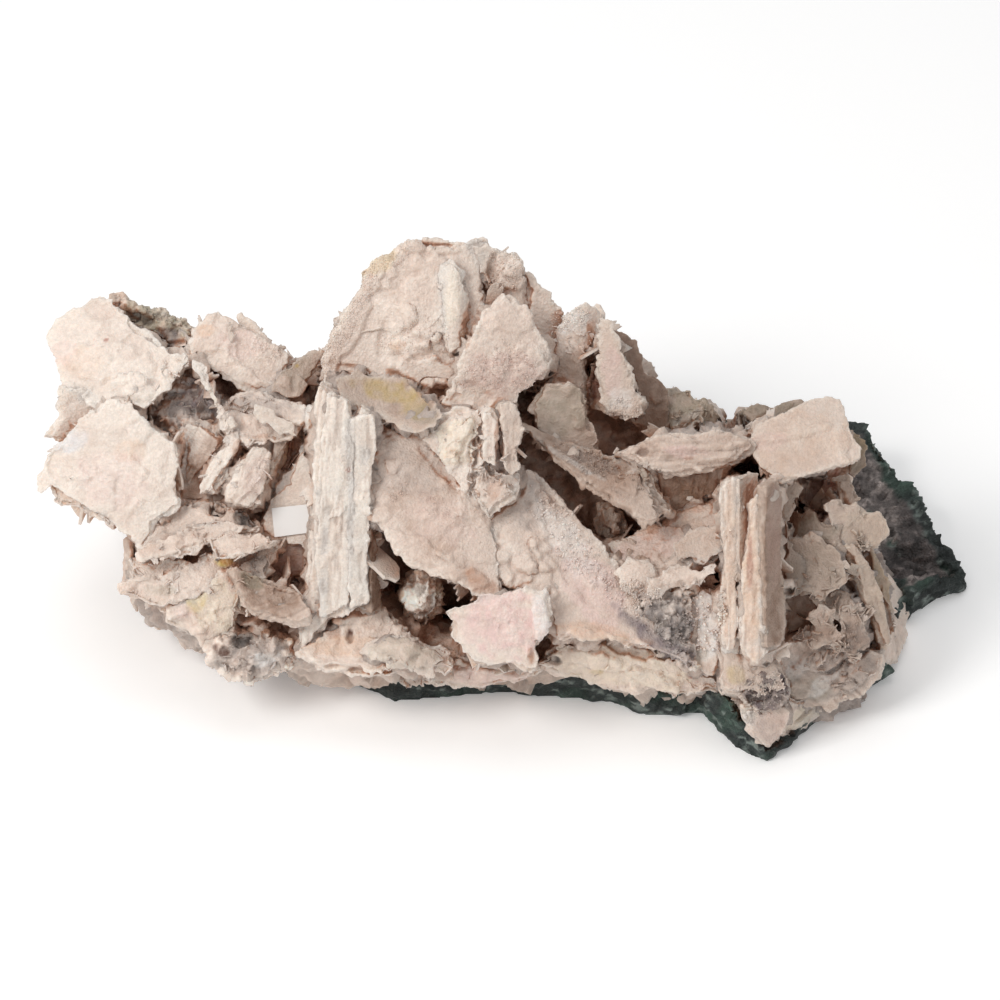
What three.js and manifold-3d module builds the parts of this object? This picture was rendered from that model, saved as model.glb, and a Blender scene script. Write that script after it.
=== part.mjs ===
// Quartz pseudomorph: intergrown quartz blades on a slab of dark basalt, with a small paper label.
// Millimetres, +X right, +Y away from the front, +Z up. The origin is the middle of the footprint.
import * as THREE from "three";
import { mergeVertices } from "three/addons/utils/BufferGeometryUtils.js";
import Module from "manifold-3d";

const wasm = await Module();
wasm.setup();

// Driving dimensions
const SHEET_UNIT = 0.28;      // one unit of the drawing sheet
const SHEET_MIDDLE = 500;     // both ways, the sheet's middle in its own units
const SHEET_TILT = 40;        // degrees, how far the sheet leans back from upright
const SIGHT_LENGTH = 1556;    // from the eye to the sheet's middle
const FRONT_TIP = 762;        // sheet row of the slab's foremost point on the floor
const FOOT_MIDDLE = [2.8, 70, 0];   // middle of the whole object over the floor
const GAP = 0.3;              // between pieces that touch
const SIDE_GAP = 1.4;         // round the slab, where its outline turns towards its middle
const LABEL_THICK = 0.4;
const LABEL_ROOM = 8;         // kept free of quartz in front of the label
const SLAB_CROWN = 14;        // height of the slab's middle
const FLOOR_ROOM = [400, 300, 40];  // block under the quartz, wider than the object
const LUMP_REACH = 1.12;      // corners of a lump, as a share of its half sizes: it holds what a ball would
const BACK_SIDES = 5;         // corners of a blade on the back
const BACK_UNEVEN = 0.28;     // how far a back blade's corners leave an even outline, as a share
const BLADE_SWING = 2.3;      // radians by which that unevenness shifts from blade to blade
const CORNER_SWING = 1.9;     // and from corner to corner
const QUARTZ_CLEARANCE = 1.5; // lowest that the quartz hangs over the floor
const OUTLINE_EASE = 3.0;     // outline points nearer than this to a straight run are dropped
const FEWEST_CORNERS = 4;     // an outline keeps at least these

// The drawing sheet faces the eye. Its axes, in the object's frame:
const tilt = THREE.MathUtils.degToRad(SHEET_TILT);
const RIGHT = new THREE.Vector3(1, 0, 0);
const UP = new THREE.Vector3(0, Math.sin(tilt), Math.cos(tilt));
const DEEP = new THREE.Vector3(0, Math.cos(tilt), -Math.sin(tilt));
const SHEET_CENTRE = UP.clone().multiplyScalar((FRONT_TIP - SHEET_MIDDLE) * SHEET_UNIT)
  .sub(new THREE.Vector3(...FOOT_MIDDLE));
const EYE = SHEET_CENTRE.clone().addScaledVector(DEEP, -SIGHT_LENGTH);

// Each blade: name, depth behind the sheet (mm), lean and turn of its face (degrees; a lean tips
// the top away, a turn swings the right side away), thickness (mm), outline on the sheet.
const BLADES = [
  // left cluster, upper
  ["upper_left_plate", -2, 18, -12, 7, [[97, 291], [70, 310], [43, 329], [50, 352], [56, 375], [60, 392],
    [85, 399], [102, 405], [118, 400], [150, 402], [172, 378], [187, 356], [158, 341], [130, 320],
    [112, 300]]],
  ["dark_rear_rock", 10, 0, 0, 9, [[112, 297], [145, 307], [163, 311], [185, 320], [192, 332], [190, 356],
    [165, 352], [125, 318]]],
  ["left_pale_block", -1, -25, 0, 9, [[59, 388], [53, 404], [56, 418], [44, 438], [80, 448], [120, 440],
    [130, 404], [85, 390]]],
  ["upper_round_plate", 2, 12, 5, 5, [[192, 327], [212, 309], [238, 313], [250, 325], [270, 339],
    [292, 358], [284, 374], [270, 392], [248, 390], [205, 364], [190, 352]]],
  ["upper_round_back", 7, 10, 5, 5, [[236, 312], [252, 324], [272, 338], [294, 355], [298, 362],
    [284, 372], [248, 340]]],
  ["leaning_blade", 0, 5, 15, 5, [[296, 358], [320, 350], [328, 354], [318, 374], [308, 392], [298, 404],
    [268, 390], [280, 372]]],
  ["pinkish_slab", -3, 30, 0, 6, [[223, 404], [232, 391], [262, 389], [297, 404], [320, 412], [296, 424],
    [262, 414]]],
  ["white_edge_blade", -9, 0, 0, 6, [[193, 360], [200, 362], [212, 384], [222, 402], [234, 428], [228, 432],
    [214, 408], [202, 384]]],
  ["white_knob", -6, 0, 0, 7, [[300, 412], [310, 404], [320, 412], [317, 432], [304, 434]]],
  ["grey_patch", 2, 8, 0, 8, [[130, 404], [148, 386], [168, 376], [186, 358], [206, 376], [224, 402],
    [236, 432], [208, 434], [186, 424], [164, 436], [140, 418]]],
  // left cluster, middle
  ["lower_left_plate", -6, -8, -8, 6, [[117, 402], [130, 403], [140, 418], [165, 437], [178, 450],
    [178, 500], [183, 507], [150, 523], [143, 553], [128, 539], [114, 526], [80, 504], [50, 489],
    [40, 497], [30, 484], [43, 452], [61, 441], [80, 415], [100, 406]]],
  ["lower_left_underside", -1, 35, 0, 5, [[48, 482], [79, 482], [100, 500], [114, 524], [80, 506],
    [58, 500]]],
  ["comb_left", 1, -5, -20, 6, [[164, 436], [184, 424], [206, 430], [222, 438], [212, 456], [196, 476],
    [184, 502], [176, 500]]],
  ["comb_cap", -5, 30, 0, 6, [[218, 412], [236, 406], [266, 416], [292, 430], [272, 437], [250, 441],
    [228, 434]]],
  ["comb_ridge_upper", -6, 0, -15, 9, [[226, 436], [234, 426], [241, 431], [237, 448], [222, 470],
    [210, 488], [199, 497], [196, 490], [209, 464]]],
  ["comb_ridge_lower", -3, 0, -10, 7, [[214, 470], [228, 466], [231, 476], [217, 492], [207, 497],
    [204, 486]]],
  ["curved_blade", -7, -5, 12, 5, [[254, 446], [272, 450], [276, 462], [266, 486], [252, 510], [238, 507],
    [224, 500], [234, 480], [243, 462]]],
  ["slot_blade", -4, 0, 5, 8, [[272, 436], [284, 428], [292, 434], [284, 452], [270, 480], [260, 506],
    [250, 510], [264, 478]]],
  ["slot_right", 3, 0, -20, 8, [[292, 432], [306, 428], [312, 440], [298, 462], [284, 484], [264, 506],
    [262, 496], [278, 468]]],
  ["thin_diagonal", -8, 0, 0, 5, [[256, 406], [282, 419], [299, 432], [293, 438], [260, 418]]],
  ["label_face", 1, -4, -8, 6, [[306, 436], [324, 436], [324, 548], [290, 542], [258, 534], [262, 516],
    [285, 475]]],
  ["comb_floor", 3, -5, 5, 6, [[188, 424], [240, 426], [308, 424], [306, 446], [282, 486], [262, 512],
    [214, 510], [176, 502], [182, 460]]],
  // left cluster, lower
  ["hole_ledge", -2, 15, 0, 6, [[178, 503], [210, 500], [232, 506], [262, 522], [262, 536], [232, 532],
    [196, 532], [142, 550], [150, 524]]],
  ["upper_slat", -6, 25, 0, 5, [[133, 548], [190, 524], [232, 520], [250, 526], [205, 542], [180, 554],
    [134, 562]]],
  ["right_slat", -8, 35, 0, 5, [[204, 534], [232, 528], [262, 534], [280, 541], [258, 550], [214, 562]]],
  ["long_slat", -3, 10, 0, 8, [[130, 558], [180, 560], [225, 552], [242, 562], [230, 576], [196, 602],
    [150, 604], [120, 600], [112, 590], [114, 579], [129, 578]]],
  ["lower_cream_blade", -2, -15, 0, 8, [[228, 566], [242, 582], [246, 602], [228, 640], [212, 654],
    [200, 650], [190, 631], [168, 620], [176, 605], [206, 588]]],
  ["grey_nub", -6, 0, 0, 10, [[206, 642], [226, 632], [262, 634], [290, 640], [296, 656], [280, 672],
    [250, 681], [230, 678], [212, 660]]],
  ["boat_blade", -10, 20, 5, 5, [[228, 568], [285, 583], [302, 594], [314, 622], [296, 625], [252, 611],
    [240, 596]]],
  ["wedge_above_boat", -5, 15, 0, 6, [[228, 566], [262, 547], [282, 541], [266, 578], [245, 574]]],
  ["pink_recess", 6, -10, 0, 6, [[250, 560], [290, 530], [306, 528], [310, 594], [290, 590], [255, 582]]],
  // column of upright lamellae
  ["column_core", -13, -10, -4, 14, [[318, 384], [342, 398], [346, 414], [353, 416], [357, 404],
    [373, 408], [377, 425], [374, 450], [372, 520], [370, 570], [373, 606], [330, 622], [316, 640],
    [304, 654], [296, 650], [305, 560], [312, 480], [313, 410]]],
  ["column_rib_left", -14.6, -10, -6, 4, [[326, 394], [348, 400], [356, 450], [355, 540], [352, 604],
    [318, 622], [314, 560], [318, 470]]],
  ["column_rib_right", -15, -10, 2, 4, [[347, 420], [374, 412], [376, 440], [372, 500], [368, 545],
    [371, 604], [348, 614], [345, 480]]],
  ["column_side", -9, -10, 45, 8, [[368, 524], [380, 531], [381, 575], [384, 612], [370, 614]]],
  ["column_foot", -6, 25, 0, 12, [[296, 650], [318, 634], [350, 606], [386, 606], [420, 640], [450, 652],
    [455, 668], [380, 672], [322, 667]]],
  ["pale_lump", -14, 25, 0, 8, [[364, 642], [378, 628], [402, 630], [440, 651], [432, 666], [392, 664]]],
  ["cavity_lump", -3, 0, 0, 8, [[398, 594], [405, 574], [424, 567], [441, 580], [445, 604], [432, 620],
    [405, 617]]],
  // tall fan
  ["fan_core", -3, 0, 0, 12, [[318, 380], [326, 353], [338, 332], [347, 308], [357, 290], [364, 265],
    [392, 244], [418, 237], [440, 240], [465, 243], [487, 236], [488, 262], [484, 310], [465, 385],
    [444, 414], [400, 402], [352, 384], [335, 394]]],
  ["fan_ridge", -7.5, -2, 0, 7, [[440, 266], [452, 260], [464, 270], [465, 310], [460, 344], [448, 352],
    [440, 314]]],
  ["fan_rear_right", 1, -5, 14, 9, [[468, 244], [487, 236], [499, 253], [512, 253], [524, 261],
    [530, 278], [534, 302], [524, 318], [500, 306], [480, 276]]],
  ["fan_front_right", -9, -5, 8, 7, [[505, 298], [535, 311], [537, 330], [549, 350], [549, 365],
    [520, 394], [523, 400], [510, 406], [465, 414], [440, 405], [452, 385], [463, 350], [484, 310]]],
  ["yellow_dish", -12, 30, 0, 4, [[337, 388], [352, 381], [400, 378], [425, 403], [446, 424], [420, 441],
    [385, 416], [345, 405]]],
  ["small_white_blade", -16, 0, 0, 6, [[420, 440], [432, 426], [445, 425], [448, 450], [442, 459]]],
  // middle
  ["central_plate", -13, 12, 5, 7, [[374, 414], [410, 431], [430, 440], [448, 468], [490, 506],
    [497, 540], [504, 600], [490, 604], [455, 583], [430, 571], [405, 560], [388, 534], [366, 514],
    [372, 450]]],
  ["bone_rib_left", -17, -5, -5, 9, [[428, 428], [446, 410], [462, 404], [482, 407], [486, 432],
    [482, 464], [468, 500], [448, 478], [438, 455]]],
  ["bone_rib_middle", -20, -5, 0, 8, [[480, 412], [493, 407], [500, 426], [495, 467], [484, 460]]],
  ["bone_rib_right", -19, -5, 8, 8, [[500, 404], [512, 401], [521, 412], [525, 436], [519, 452],
    [523, 470], [512, 479], [503, 470]]],
  ["bone_rib_foot", -16, 0, 0, 8, [[466, 478], [486, 462], [500, 474], [518, 476], [513, 498], [488, 515],
    [474, 503]]],
  ["long_blade", -9, 15, 8, 7, [[505, 480], [518, 470], [532, 467], [566, 507], [580, 516], [625, 576],
    [692, 664], [605, 642], [556, 642], [545, 602], [500, 585], [486, 545], [490, 505]]],
  ["rose_plate", -19, -8, 0, 7, [[445, 612], [490, 595], [545, 589], [552, 606], [549, 635], [537, 646],
    [541, 663], [530, 677], [500, 669], [470, 659], [452, 640]]],
  // behind the fan and mid right
  ["rear_shoulder", 6, -5, 20, 8, [[524, 272], [535, 275], [543, 290], [553, 292], [551, 302],
    [566, 308], [562, 332], [548, 352], [532, 330]]],
  ["crumbly_blade", 3, -10, 12, 6, [[545, 356], [551, 338], [564, 322], [575, 307], [588, 304], [600, 305],
    [604, 318], [600, 338], [592, 354], [586, 370], [592, 398], [572, 406], [552, 394], [544, 374]]],
  ["pointed_blade", -2, -10, -5, 6, [[598, 326], [607, 318], [618, 338], [628, 362], [634, 386], [646, 404],
    [642, 414], [630, 421], [612, 418], [598, 406], [597, 366]]],
  ["pointed_blade_side", 2, -5, -40, 8, [[586, 380], [594, 346], [602, 320], [606, 350], [606, 412],
    [588, 404]]],
  ["grey_side_blade", 8, -5, 30, 7, [[610, 324], [638, 341], [643, 370], [661, 379], [668, 392],
    [670, 428], [650, 434], [630, 424], [646, 406]]],
  ["greenish_lump", -3, -10, 4, 6, [[529, 412], [535, 395], [548, 383], [562, 386], [575, 380], [584, 392],
    [592, 418], [600, 444], [592, 456], [564, 446], [540, 432]]],
  ["upper_boat_blade", -8, 35, 8, 6, [[523, 428], [562, 438], [600, 452], [640, 464], [652, 500],
    [658, 519], [645, 520], [600, 493], [575, 473], [552, 458]]],
  ["long_flat_blade", -11, 5, 0, 10, [[610, 454], [640, 440], [662, 432], [720, 430], [757, 438],
    [757, 450], [738, 464], [680, 476], [636, 464]]],
  ["fluted_edge", -9, -5, -10, 8, [[633, 464], [650, 466], [656, 490], [674, 516], [650, 516],
    [640, 490]]],
  ["fluted_face", -3, -35, 0, 7, [[650, 468], [700, 472], [732, 464], [730, 492], [700, 502],
    [674, 516], [658, 506]]],
  ["cavity_slab", 7, -10, 20, 14, [[600, 506], [618, 506], [630, 532], [612, 540], [598, 532]]],
  ["rear_grey_lump", 13, 5, 10, 14, [[662, 392], [680, 386], [700, 397], [722, 408], [728, 422],
    [724, 436], [690, 436], [664, 430]]],
  ["rear_crust", 20, 20, 0, 12, [[738, 412], [745, 404], [768, 402], [800, 404], [812, 412], [770, 432],
    [740, 436]]],
  // right
  ["square_blade", -9, 25, -5, 6, [[757, 424], [785, 411], [812, 398], [836, 394], [844, 402], [852, 436],
    [862, 450], [858, 459], [828, 468], [800, 475], [780, 480], [762, 468], [746, 440]]],
  ["tablet_left_edge", -17, -5, 0, 18, [[721, 488], [728, 478], [742, 478], [744, 540], [743, 600],
    [741, 654], [722, 656]]],
  ["tablet_left_face", -15, -5, 50, 7, [[740, 478], [758, 470], [760, 500], [756, 540], [750, 580],
    [740, 584]]],
  ["tablet_right_edge", -19, -5, 0, 14, [[748, 504], [766, 485], [769, 520], [767, 600], [769, 655],
    [756, 666], [740, 650], [743, 560]]],
  ["tablet_right_face", -17, -5, 50, 8, [[765, 486], [779, 476], [783, 500], [783, 570], [787, 625],
    [782, 645], [766, 650]]],
  ["tablet_foot", -10, 10, 0, 12, [[716, 640], [745, 600], [768, 610], [778, 655], [792, 690],
    [768, 700], [722, 688]]],
  ["smooth_rear_plate", -6, -5, 5, 6, [[779, 477], [800, 471], [803, 488], [790, 512], [795, 548],
    [812, 560], [815, 574], [804, 592], [780, 596]]],
  ["dark_lower_face", 0, -15, 0, 8, [[780, 590], [802, 586], [824, 602], [822, 622], [796, 632],
    [780, 632]]],
  ["sloping_plate", -3, 30, -8, 7, [[608, 544], [660, 520], [700, 502], [727, 491], [727, 552],
    [700, 563], [645, 577], [622, 568]]],
  ["saucer", -7, 20, 0, 4, [[668, 545], [690, 528], [712, 524], [732, 528], [730, 546], [716, 552],
    [706, 563], [690, 558], [676, 564]]],
  ["cusp_blade", -13, 25, 0, 6, [[646, 580], [680, 560], [696, 557], [692, 569], [718, 568],
    [710, 580], [668, 590], [648, 592]]],
  ["pale_dome", -11, 10, 0, 6, [[617, 572], [625, 560], [638, 556], [651, 563], [657, 577], [648, 590],
    [624, 586]]],
  ["upper_shell", -4, 5, -28, 5, [[786, 506], [800, 514], [812, 508], [822, 520], [838, 524], [832, 540],
    [840, 552], [822, 550], [806, 558], [798, 545], [786, 548]]],
  ["lower_shell", -6, -5, -24, 5, [[783, 545], [799, 539], [820, 536], [838, 548], [846, 568], [839, 588],
    [822, 597], [806, 590], [793, 598], [784, 588]]],
  ["striped_recess", 10, -10, -10, 8, [[796, 474], [850, 460], [848, 492], [838, 518], [818, 522],
    [798, 500]]],
  ["cream_fan", -5, -5, 10, 5, [[826, 506], [838, 496], [848, 508], [856, 500], [864, 514], [878, 510],
    [890, 532], [878, 548], [862, 544], [854, 560], [846, 546], [836, 552]]],
  ["yellow_twist", 5, -5, 20, 8, [[846, 424], [858, 430], [868, 440], [870, 456], [862, 476],
    [850, 480], [846, 462]]],
  ["right_thin_blade", 1, -5, 20, 12, [[838, 482], [852, 478], [860, 502], [868, 522], [856, 532],
    [844, 514]]],
  ["right_long_front", -3, -10, 20, 9, [[846, 548], [858, 544], [874, 572], [890, 612], [897, 642],
    [886, 658], [866, 604]]],
  ["right_long_rear", 2, -10, 20, 9, [[862, 540], [874, 538], [888, 572], [902, 624], [896, 640],
    [878, 594]]],
  ["white_flake_upper", -4, 10, 0, 6, [[808, 596], [822, 586], [836, 592], [856, 590], [850, 604],
    [854, 618], [836, 612], [824, 620]]],
  ["white_flake_left", -6, -5, -10, 5, [[806, 612], [820, 606], [834, 612], [830, 624], [846, 634],
    [836, 650], [824, 642], [812, 650], [814, 630]]],
  ["white_flake_right", -5, -5, 10, 5, [[840, 612], [852, 606], [866, 616], [862, 628], [876, 640],
    [860, 650], [852, 666], [844, 650], [834, 642], [844, 628]]],
  ["lower_right_face", 2, -20, 8, 12, [[776, 650], [812, 634], [884, 656], [880, 680], [862, 699],
    [842, 703], [828, 716], [806, 712], [780, 690]]],
  ["purple_lump", -12, -10, 0, 6, [[740, 684], [762, 672], [784, 676], [792, 694], [780, 711], [752, 716],
    [742, 704]]],
  ["orange_triangle", -6.5, -15, 0, 8, [[744, 708], [770, 702], [790, 710], [784, 732], [766, 750],
    [753, 737]]],
  ["tip_face", 5, -25, 37, 8, [[746, 712], [770, 700], [806, 704], [836, 692], [866, 678], [884, 666],
    [884, 672], [846, 696], [804, 726], [768, 752], [754, 738]]],
  ["ribbed_druse", -8, -5, -5, 9, [[678, 604], [700, 588], [724, 594], [724, 656], [712, 678],
    [694, 668]]],
  ["grey_druse", -11, 5, 5, 12, [[628, 590], [690, 586], [696, 640], [698, 672], [664, 650]]],
  ["cream_apron", -2, -28, 0, 12, [[540, 664], [556, 640], [605, 638], [692, 664], [724, 688],
    [718, 697], [640, 698], [606, 692], [584, 682], [560, 676]]],
  ["front_apron", 3, -34, 0, 14, [[294, 658], [322, 650], [380, 654], [450, 660], [540, 668],
    [533, 677], [500, 684], [470, 690], [432, 684], [404, 692], [388, 678], [345, 672]]],
];

// Lumps of the grown-together mass under the blades, on the same sheet: column, row, depth of the
// middle (mm), then half sizes across, up and deep (mm).
const LUMPS = [
  [470, 470, 34, 62, 42, 27], [430, 362, 25, 30, 27, 18], [190, 432, 24, 37, 30, 17],
  [140, 372, 16, 22, 15, 12], [215, 570, 22, 26, 24, 18], [250, 645, 6, 12, 10, 11],
  [188, 402, 8, 13, 13, 12], [360, 640, 16, 28, 15, 17], [520, 650, 20, 38, 12, 18],
  [690, 655, 16, 32, 15, 18], [800, 670, 15, 22, 17, 15], [770, 560, 40, 38, 32, 28],
  [690, 480, 42, 42, 24, 28], [690, 565, 60, 42, 26, 26], [852, 610, 30, 13, 22, 16],
  [790, 465, 56, 26, 14, 18], [450, 432, 60, 62, 28, 20], [290, 440, 46, 44, 22, 20],
  [580, 385, 28, 22, 18, 16], [425, 600, 2, 5, 9, 8], [650, 625, 8, 14, 14, 10],
  [320, 540, 22, 26, 26, 16],
];

// Blades on the back and the top, which the sheet does not show: middle of the blade over the
// floor (x, y, z), width, height, thickness, the way it faces (degrees round from +X) and its slope.
const BACK_BLADES = [
  // high on the back
  [-28, 104, 84, 34, 30, 5, 110, 25], [-6, 108, 80, 36, 32, 5, 75, 20], [14, 106, 63, 34, 32, 5, 60, 30],
  [-70, 100, 57, 34, 30, 5, 95, 35], [-94, 96, 64, 34, 26, 5, 110, 20], [-48, 102, 48, 34, 30, 5, 120, 20],
  // half way up
  [-112, 90, 56, 28, 30, 5, 150, 5], [-88, 108, 48, 34, 30, 5, 100, 10], [-64, 118, 36, 36, 32, 6, 120, 0],
  [-28, 130, 46, 32, 28, 6, 80, 10], [-8, 132, 58, 38, 32, 6, 105, 15], [14, 132, 38, 40, 34, 6, 75, -5],
  [38, 120, 36, 34, 30, 6, 110, 15], [58, 112, 20, 32, 26, 6, 60, 20], [80, 108, 21, 30, 24, 6, 100, 15],
  [98, 104, 24, 26, 22, 5, 40, 10],
  // low on the back
  [-98, 86, 36, 30, 24, 5, 140, -30], [-74, 110, 32, 34, 26, 6, 115, -15], [-48, 126, 24, 36, 26, 6, 95, 5],
  [-22, 133, 28, 36, 28, 6, 70, 0], [6, 135, 26, 40, 26, 6, 100, -8], [32, 131, 22, 36, 24, 6, 85, 10],
  [56, 126, 14, 34, 20, 6, 110, 10], [80, 120, 15, 30, 18, 6, 80, 15], [102, 114, 16, 26, 16, 5, 60, 20],
  // lying over the top, towards the back
  [62, 96, 38, 34, 30, 5, 80, 40], [86, 92, 41, 32, 28, 5, 60, 35], [40, 100, 50, 32, 30, 5, 110, 40],
  [100, 84, 33, 26, 28, 5, 20, 30], [74, 108, 33, 34, 26, 5, 100, 15], [-30, 110, 70, 32, 28, 5, 70, 35],
  [-56, 104, 57, 34, 28, 5, 110, 40], [-84, 92, 76, 30, 26, 5, 80, 50], [-104, 86, 76, 28, 24, 5, 130, 40],
  // fins that stand square to the back
  [-50, 114, 38, 30, 26, 4, 15, 10], [0, 124, 64, 28, 24, 4, 170, 15], [26, 124, 43, 26, 30, 4, 20, -10],
  [-38, 122, 40, 24, 30, 4, 200, 5], [48, 120, 20, 26, 26, 4, 10, 0], [-84, 102, 46, 26, 26, 4, 20, -5],
  // on the back of the tall fan
  [-34, 97, 98, 30, 24, 5, 100, 30], [-12, 100, 97, 32, 24, 5, 80, 35], [2, 104, 74, 30, 30, 5, 50, 20],
  [-46, 100, 70, 30, 28, 5, 135, 20],
  // more fins
  [-20, 116, 66, 28, 26, 4, 0, 20], [-66, 110, 48, 28, 26, 4, 40, 10], [20, 130, 50, 28, 26, 4, 150, 15],
  [66, 112, 32, 26, 26, 4, 165, 20], [90, 98, 36, 26, 24, 4, 140, 30], [-100, 92, 52, 26, 24, 4, 60, 0],
  // on the left flank
  [-118, 78, 52, 26, 24, 5, 180, 5], [-106, 70, 42, 24, 24, 5, 190, -10], [-98, 60, 30, 26, 24, 5, 180, -5],
  [-110, 84, 36, 24, 22, 5, 170, -15],
  // on the right flank
  [102, 82, 24, 26, 22, 5, 10, 25], [100, 60, 22, 28, 20, 5, -15, 30], [94, 66, 40, 28, 24, 5, 0, 35],
  [105, 44, 14, 22, 18, 5, -20, 20], [88, 84, 50, 26, 24, 5, 20, 40],
];

// Slab of basalt: its outline over the floor and the height of its top edge there.
const SLAB_MIDDLE = [50, 80];
const SLAB_OUTLINE = [
  [-30, 25, 9], [0, 29, 8], [15, 27, 10], [31, 25, 9], [42, 19, 9], [57, 20, 9], [61, 15, 12],
  [66, 6, 14], [71, 2, 9], [75, 0, 4], [85, 12, 4], [97, 24.5, 4], [107.4, 33.5, 5], [111, 45, 7],
  [115.5, 59, 9], [125.5, 68.5, 8], [135.5, 74, 2.5], [129.6, 83, 9], [122.6, 98, 13], [113.4, 114, 18],
  [107.5, 125, 20], [80, 131, 18],
  [30, 134, 14], [-20, 130, 14], [-56, 114, 16], [-76, 86, 18], [-68, 60, 14], [-50, 40, 10],
];
const SLAB_LEVELS = [[0, 0.992], [0.35, 1], [0.75, 0.995], [1, 0.97]];   // part of the height, inset

const LABEL_OUTLINE = [[272, 508], [318, 503], [321, 531], [275, 537]];
const LABEL_ROOM_OUTLINE = [[268, 503], [322, 498], [325, 536], [271, 542]];

// Plane of a blade's face, through the middle of its outline.
function planeOf(depth, lean, turn, outline) {
  const middle = outline.reduce((sum, [x, y]) => [sum[0] + x, sum[1] + y], [0, 0])
    .map((total) => total / outline.length);
  const normal = DEEP.clone()
    .addScaledVector(RIGHT, -Math.tan(THREE.MathUtils.degToRad(turn)))
    .addScaledVector(UP, -Math.tan(THREE.MathUtils.degToRad(lean))).normalize();
  return { centre: onSheet(middle[0], middle[1], depth), normal };
}

function onSheet(column, row, depth) {
  const reach = 1 + depth / SIGHT_LENGTH;
  return EYE.clone()
    .addScaledVector(DEEP, SIGHT_LENGTH * reach)
    .addScaledVector(RIGHT, (column - SHEET_MIDDLE) * SHEET_UNIT * reach)
    .addScaledVector(UP, (SHEET_MIDDLE - row) * SHEET_UNIT * reach);
}

// Point of a blade's plane that the eye sees at a place of the sheet.
function seenOnPlane(plane, column, row) {
  const ray = new THREE.Ray(EYE, onSheet(column, row, 0).sub(EYE).normalize());
  const facing = new THREE.Plane().setFromNormalAndCoplanarPoint(plane.normal, plane.centre);
  return ray.intersectPlane(facing, new THREE.Vector3());
}

// Drops the flattest points of an outline one after another, while enough are left.
function eased(points) {
  const kept = [...points];
  const bulge = (point, i) => {
    const before = kept.at(i - 1);
    const run = kept[(i + 1) % kept.length].clone().sub(before);
    return Math.abs(run.cross(point.clone().sub(before))) / run.length();
  };
  while (kept.length > FEWEST_CORNERS) {
    const bulges = kept.map(bulge);
    const least = Math.min(...bulges);
    if (least > OUTLINE_EASE) break;
    kept.splice(bulges.indexOf(least), 1);
  }
  return kept;
}

// Slab of the given outline, its face on the plane and its thickness away from the eye.
function slab(plane, outline, thickness, offset = 0) {
  const across = new THREE.Vector3().crossVectors(UP, plane.normal).normalize();
  const along = new THREE.Vector3().crossVectors(plane.normal, across);
  const place = new THREE.Matrix4().makeBasis(across, along, plane.normal)
    .setPosition(plane.centre.clone().addScaledVector(plane.normal, offset));
  const flat = outline.map(([column, row]) => {
    const spot = seenOnPlane(plane, column, row).sub(plane.centre);
    return new THREE.Vector2(spot.dot(across), spot.dot(along));
  });
  const shape = new THREE.Shape(eased(flat));
  return new THREE.ExtrudeGeometry(shape, { depth: thickness, bevelEnabled: false }).applyMatrix4(place);
}

function bladeSolid([, depth, lean, turn, thickness, outline]) {
  return solid(slab(planeOf(depth, lean, turn, outline), outline, thickness));
}

function lumpSolid([column, row, depth, across, up, deep]) {
  const ball = new THREE.IcosahedronGeometry(LUMP_REACH, 0);
  const place = new THREE.Matrix4()
    .makeBasis(RIGHT.clone().multiplyScalar(across), UP.clone().multiplyScalar(up),
      DEEP.clone().multiplyScalar(-deep))
    .setPosition(onSheet(column, row, depth));
  return solid(ball.applyMatrix4(place));
}

// An uneven five-sided plate, standing on the back of the mass.
function backBladeSolid([x, y, z, width, height, thickness, facing, slope], index) {
  const corners = [];
  for (let side = 0; side < BACK_SIDES; side += 1) {
    const angle = (side + 0.5) * Math.PI * 2 / BACK_SIDES;
    const reach = 1 + BACK_UNEVEN * Math.sin(index * BLADE_SWING + side * CORNER_SWING);
    const [across, along] = [reach * Math.cos(angle), reach * Math.sin(angle)];
    corners.push(new THREE.Vector2(across * width / 2, along * height / 2));
  }
  const outline = new THREE.Shape(corners);
  const plate = new THREE.ExtrudeGeometry(outline, { depth: thickness, bevelEnabled: false });
  plate.translate(0, 0, -thickness / 2);
  plate.rotateX(Math.PI / 2 - THREE.MathUtils.degToRad(slope));
  plate.rotateZ(THREE.MathUtils.degToRad(facing + 90));
  plate.translate(x - FOOT_MIDDLE[0], y - FOOT_MIDDLE[1], z);
  return solid(plate);
}

// The basalt slab, or the room that the quartz leaves for it when it is grown by a gap.
function slabOfBasalt(gap) {
  const rim = SLAB_OUTLINE.length;
  const middle = new THREE.Vector2(SLAB_MIDDLE[0] - FOOT_MIDDLE[0], SLAB_MIDDLE[1] - FOOT_MIDDLE[1]);
  const corners = [];
  SLAB_LEVELS.forEach(([part, inset], level) => {
    for (const [x, y, top] of SLAB_OUTLINE) {
      const out = new THREE.Vector2(x - SLAB_MIDDLE[0], y - SLAB_MIDDLE[1]);
      out.setLength(out.length() * inset + (gap > 0 ? SIDE_GAP : 0));
      out.add(middle);
      corners.push(out.x, out.y, level === 0 ? -gap : part * top + gap);
    }
  });
  const low = corners.length / 3;
  corners.push(middle.x, middle.y, -gap);
  corners.push(middle.x, middle.y, SLAB_CROWN + gap);
  const faces = [];
  for (let i = 0; i < rim; i += 1) {
    const next = (i + 1) % rim;
    faces.push(low, next, i);
    const last = (SLAB_LEVELS.length - 1) * rim;
    faces.push(low + 1, last + i, last + next);
    for (let ring = 0; ring < last; ring += rim) {
      faces.push(ring + i, ring + next, ring + rim + next);
      faces.push(ring + i, ring + rim + next, ring + rim + i);
    }
  }
  const geometry = new THREE.BufferGeometry();
  geometry.setAttribute("position", new THREE.Float32BufferAttribute(corners, 3));
  geometry.setIndex(faces);
  return solid(geometry);
}

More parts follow.
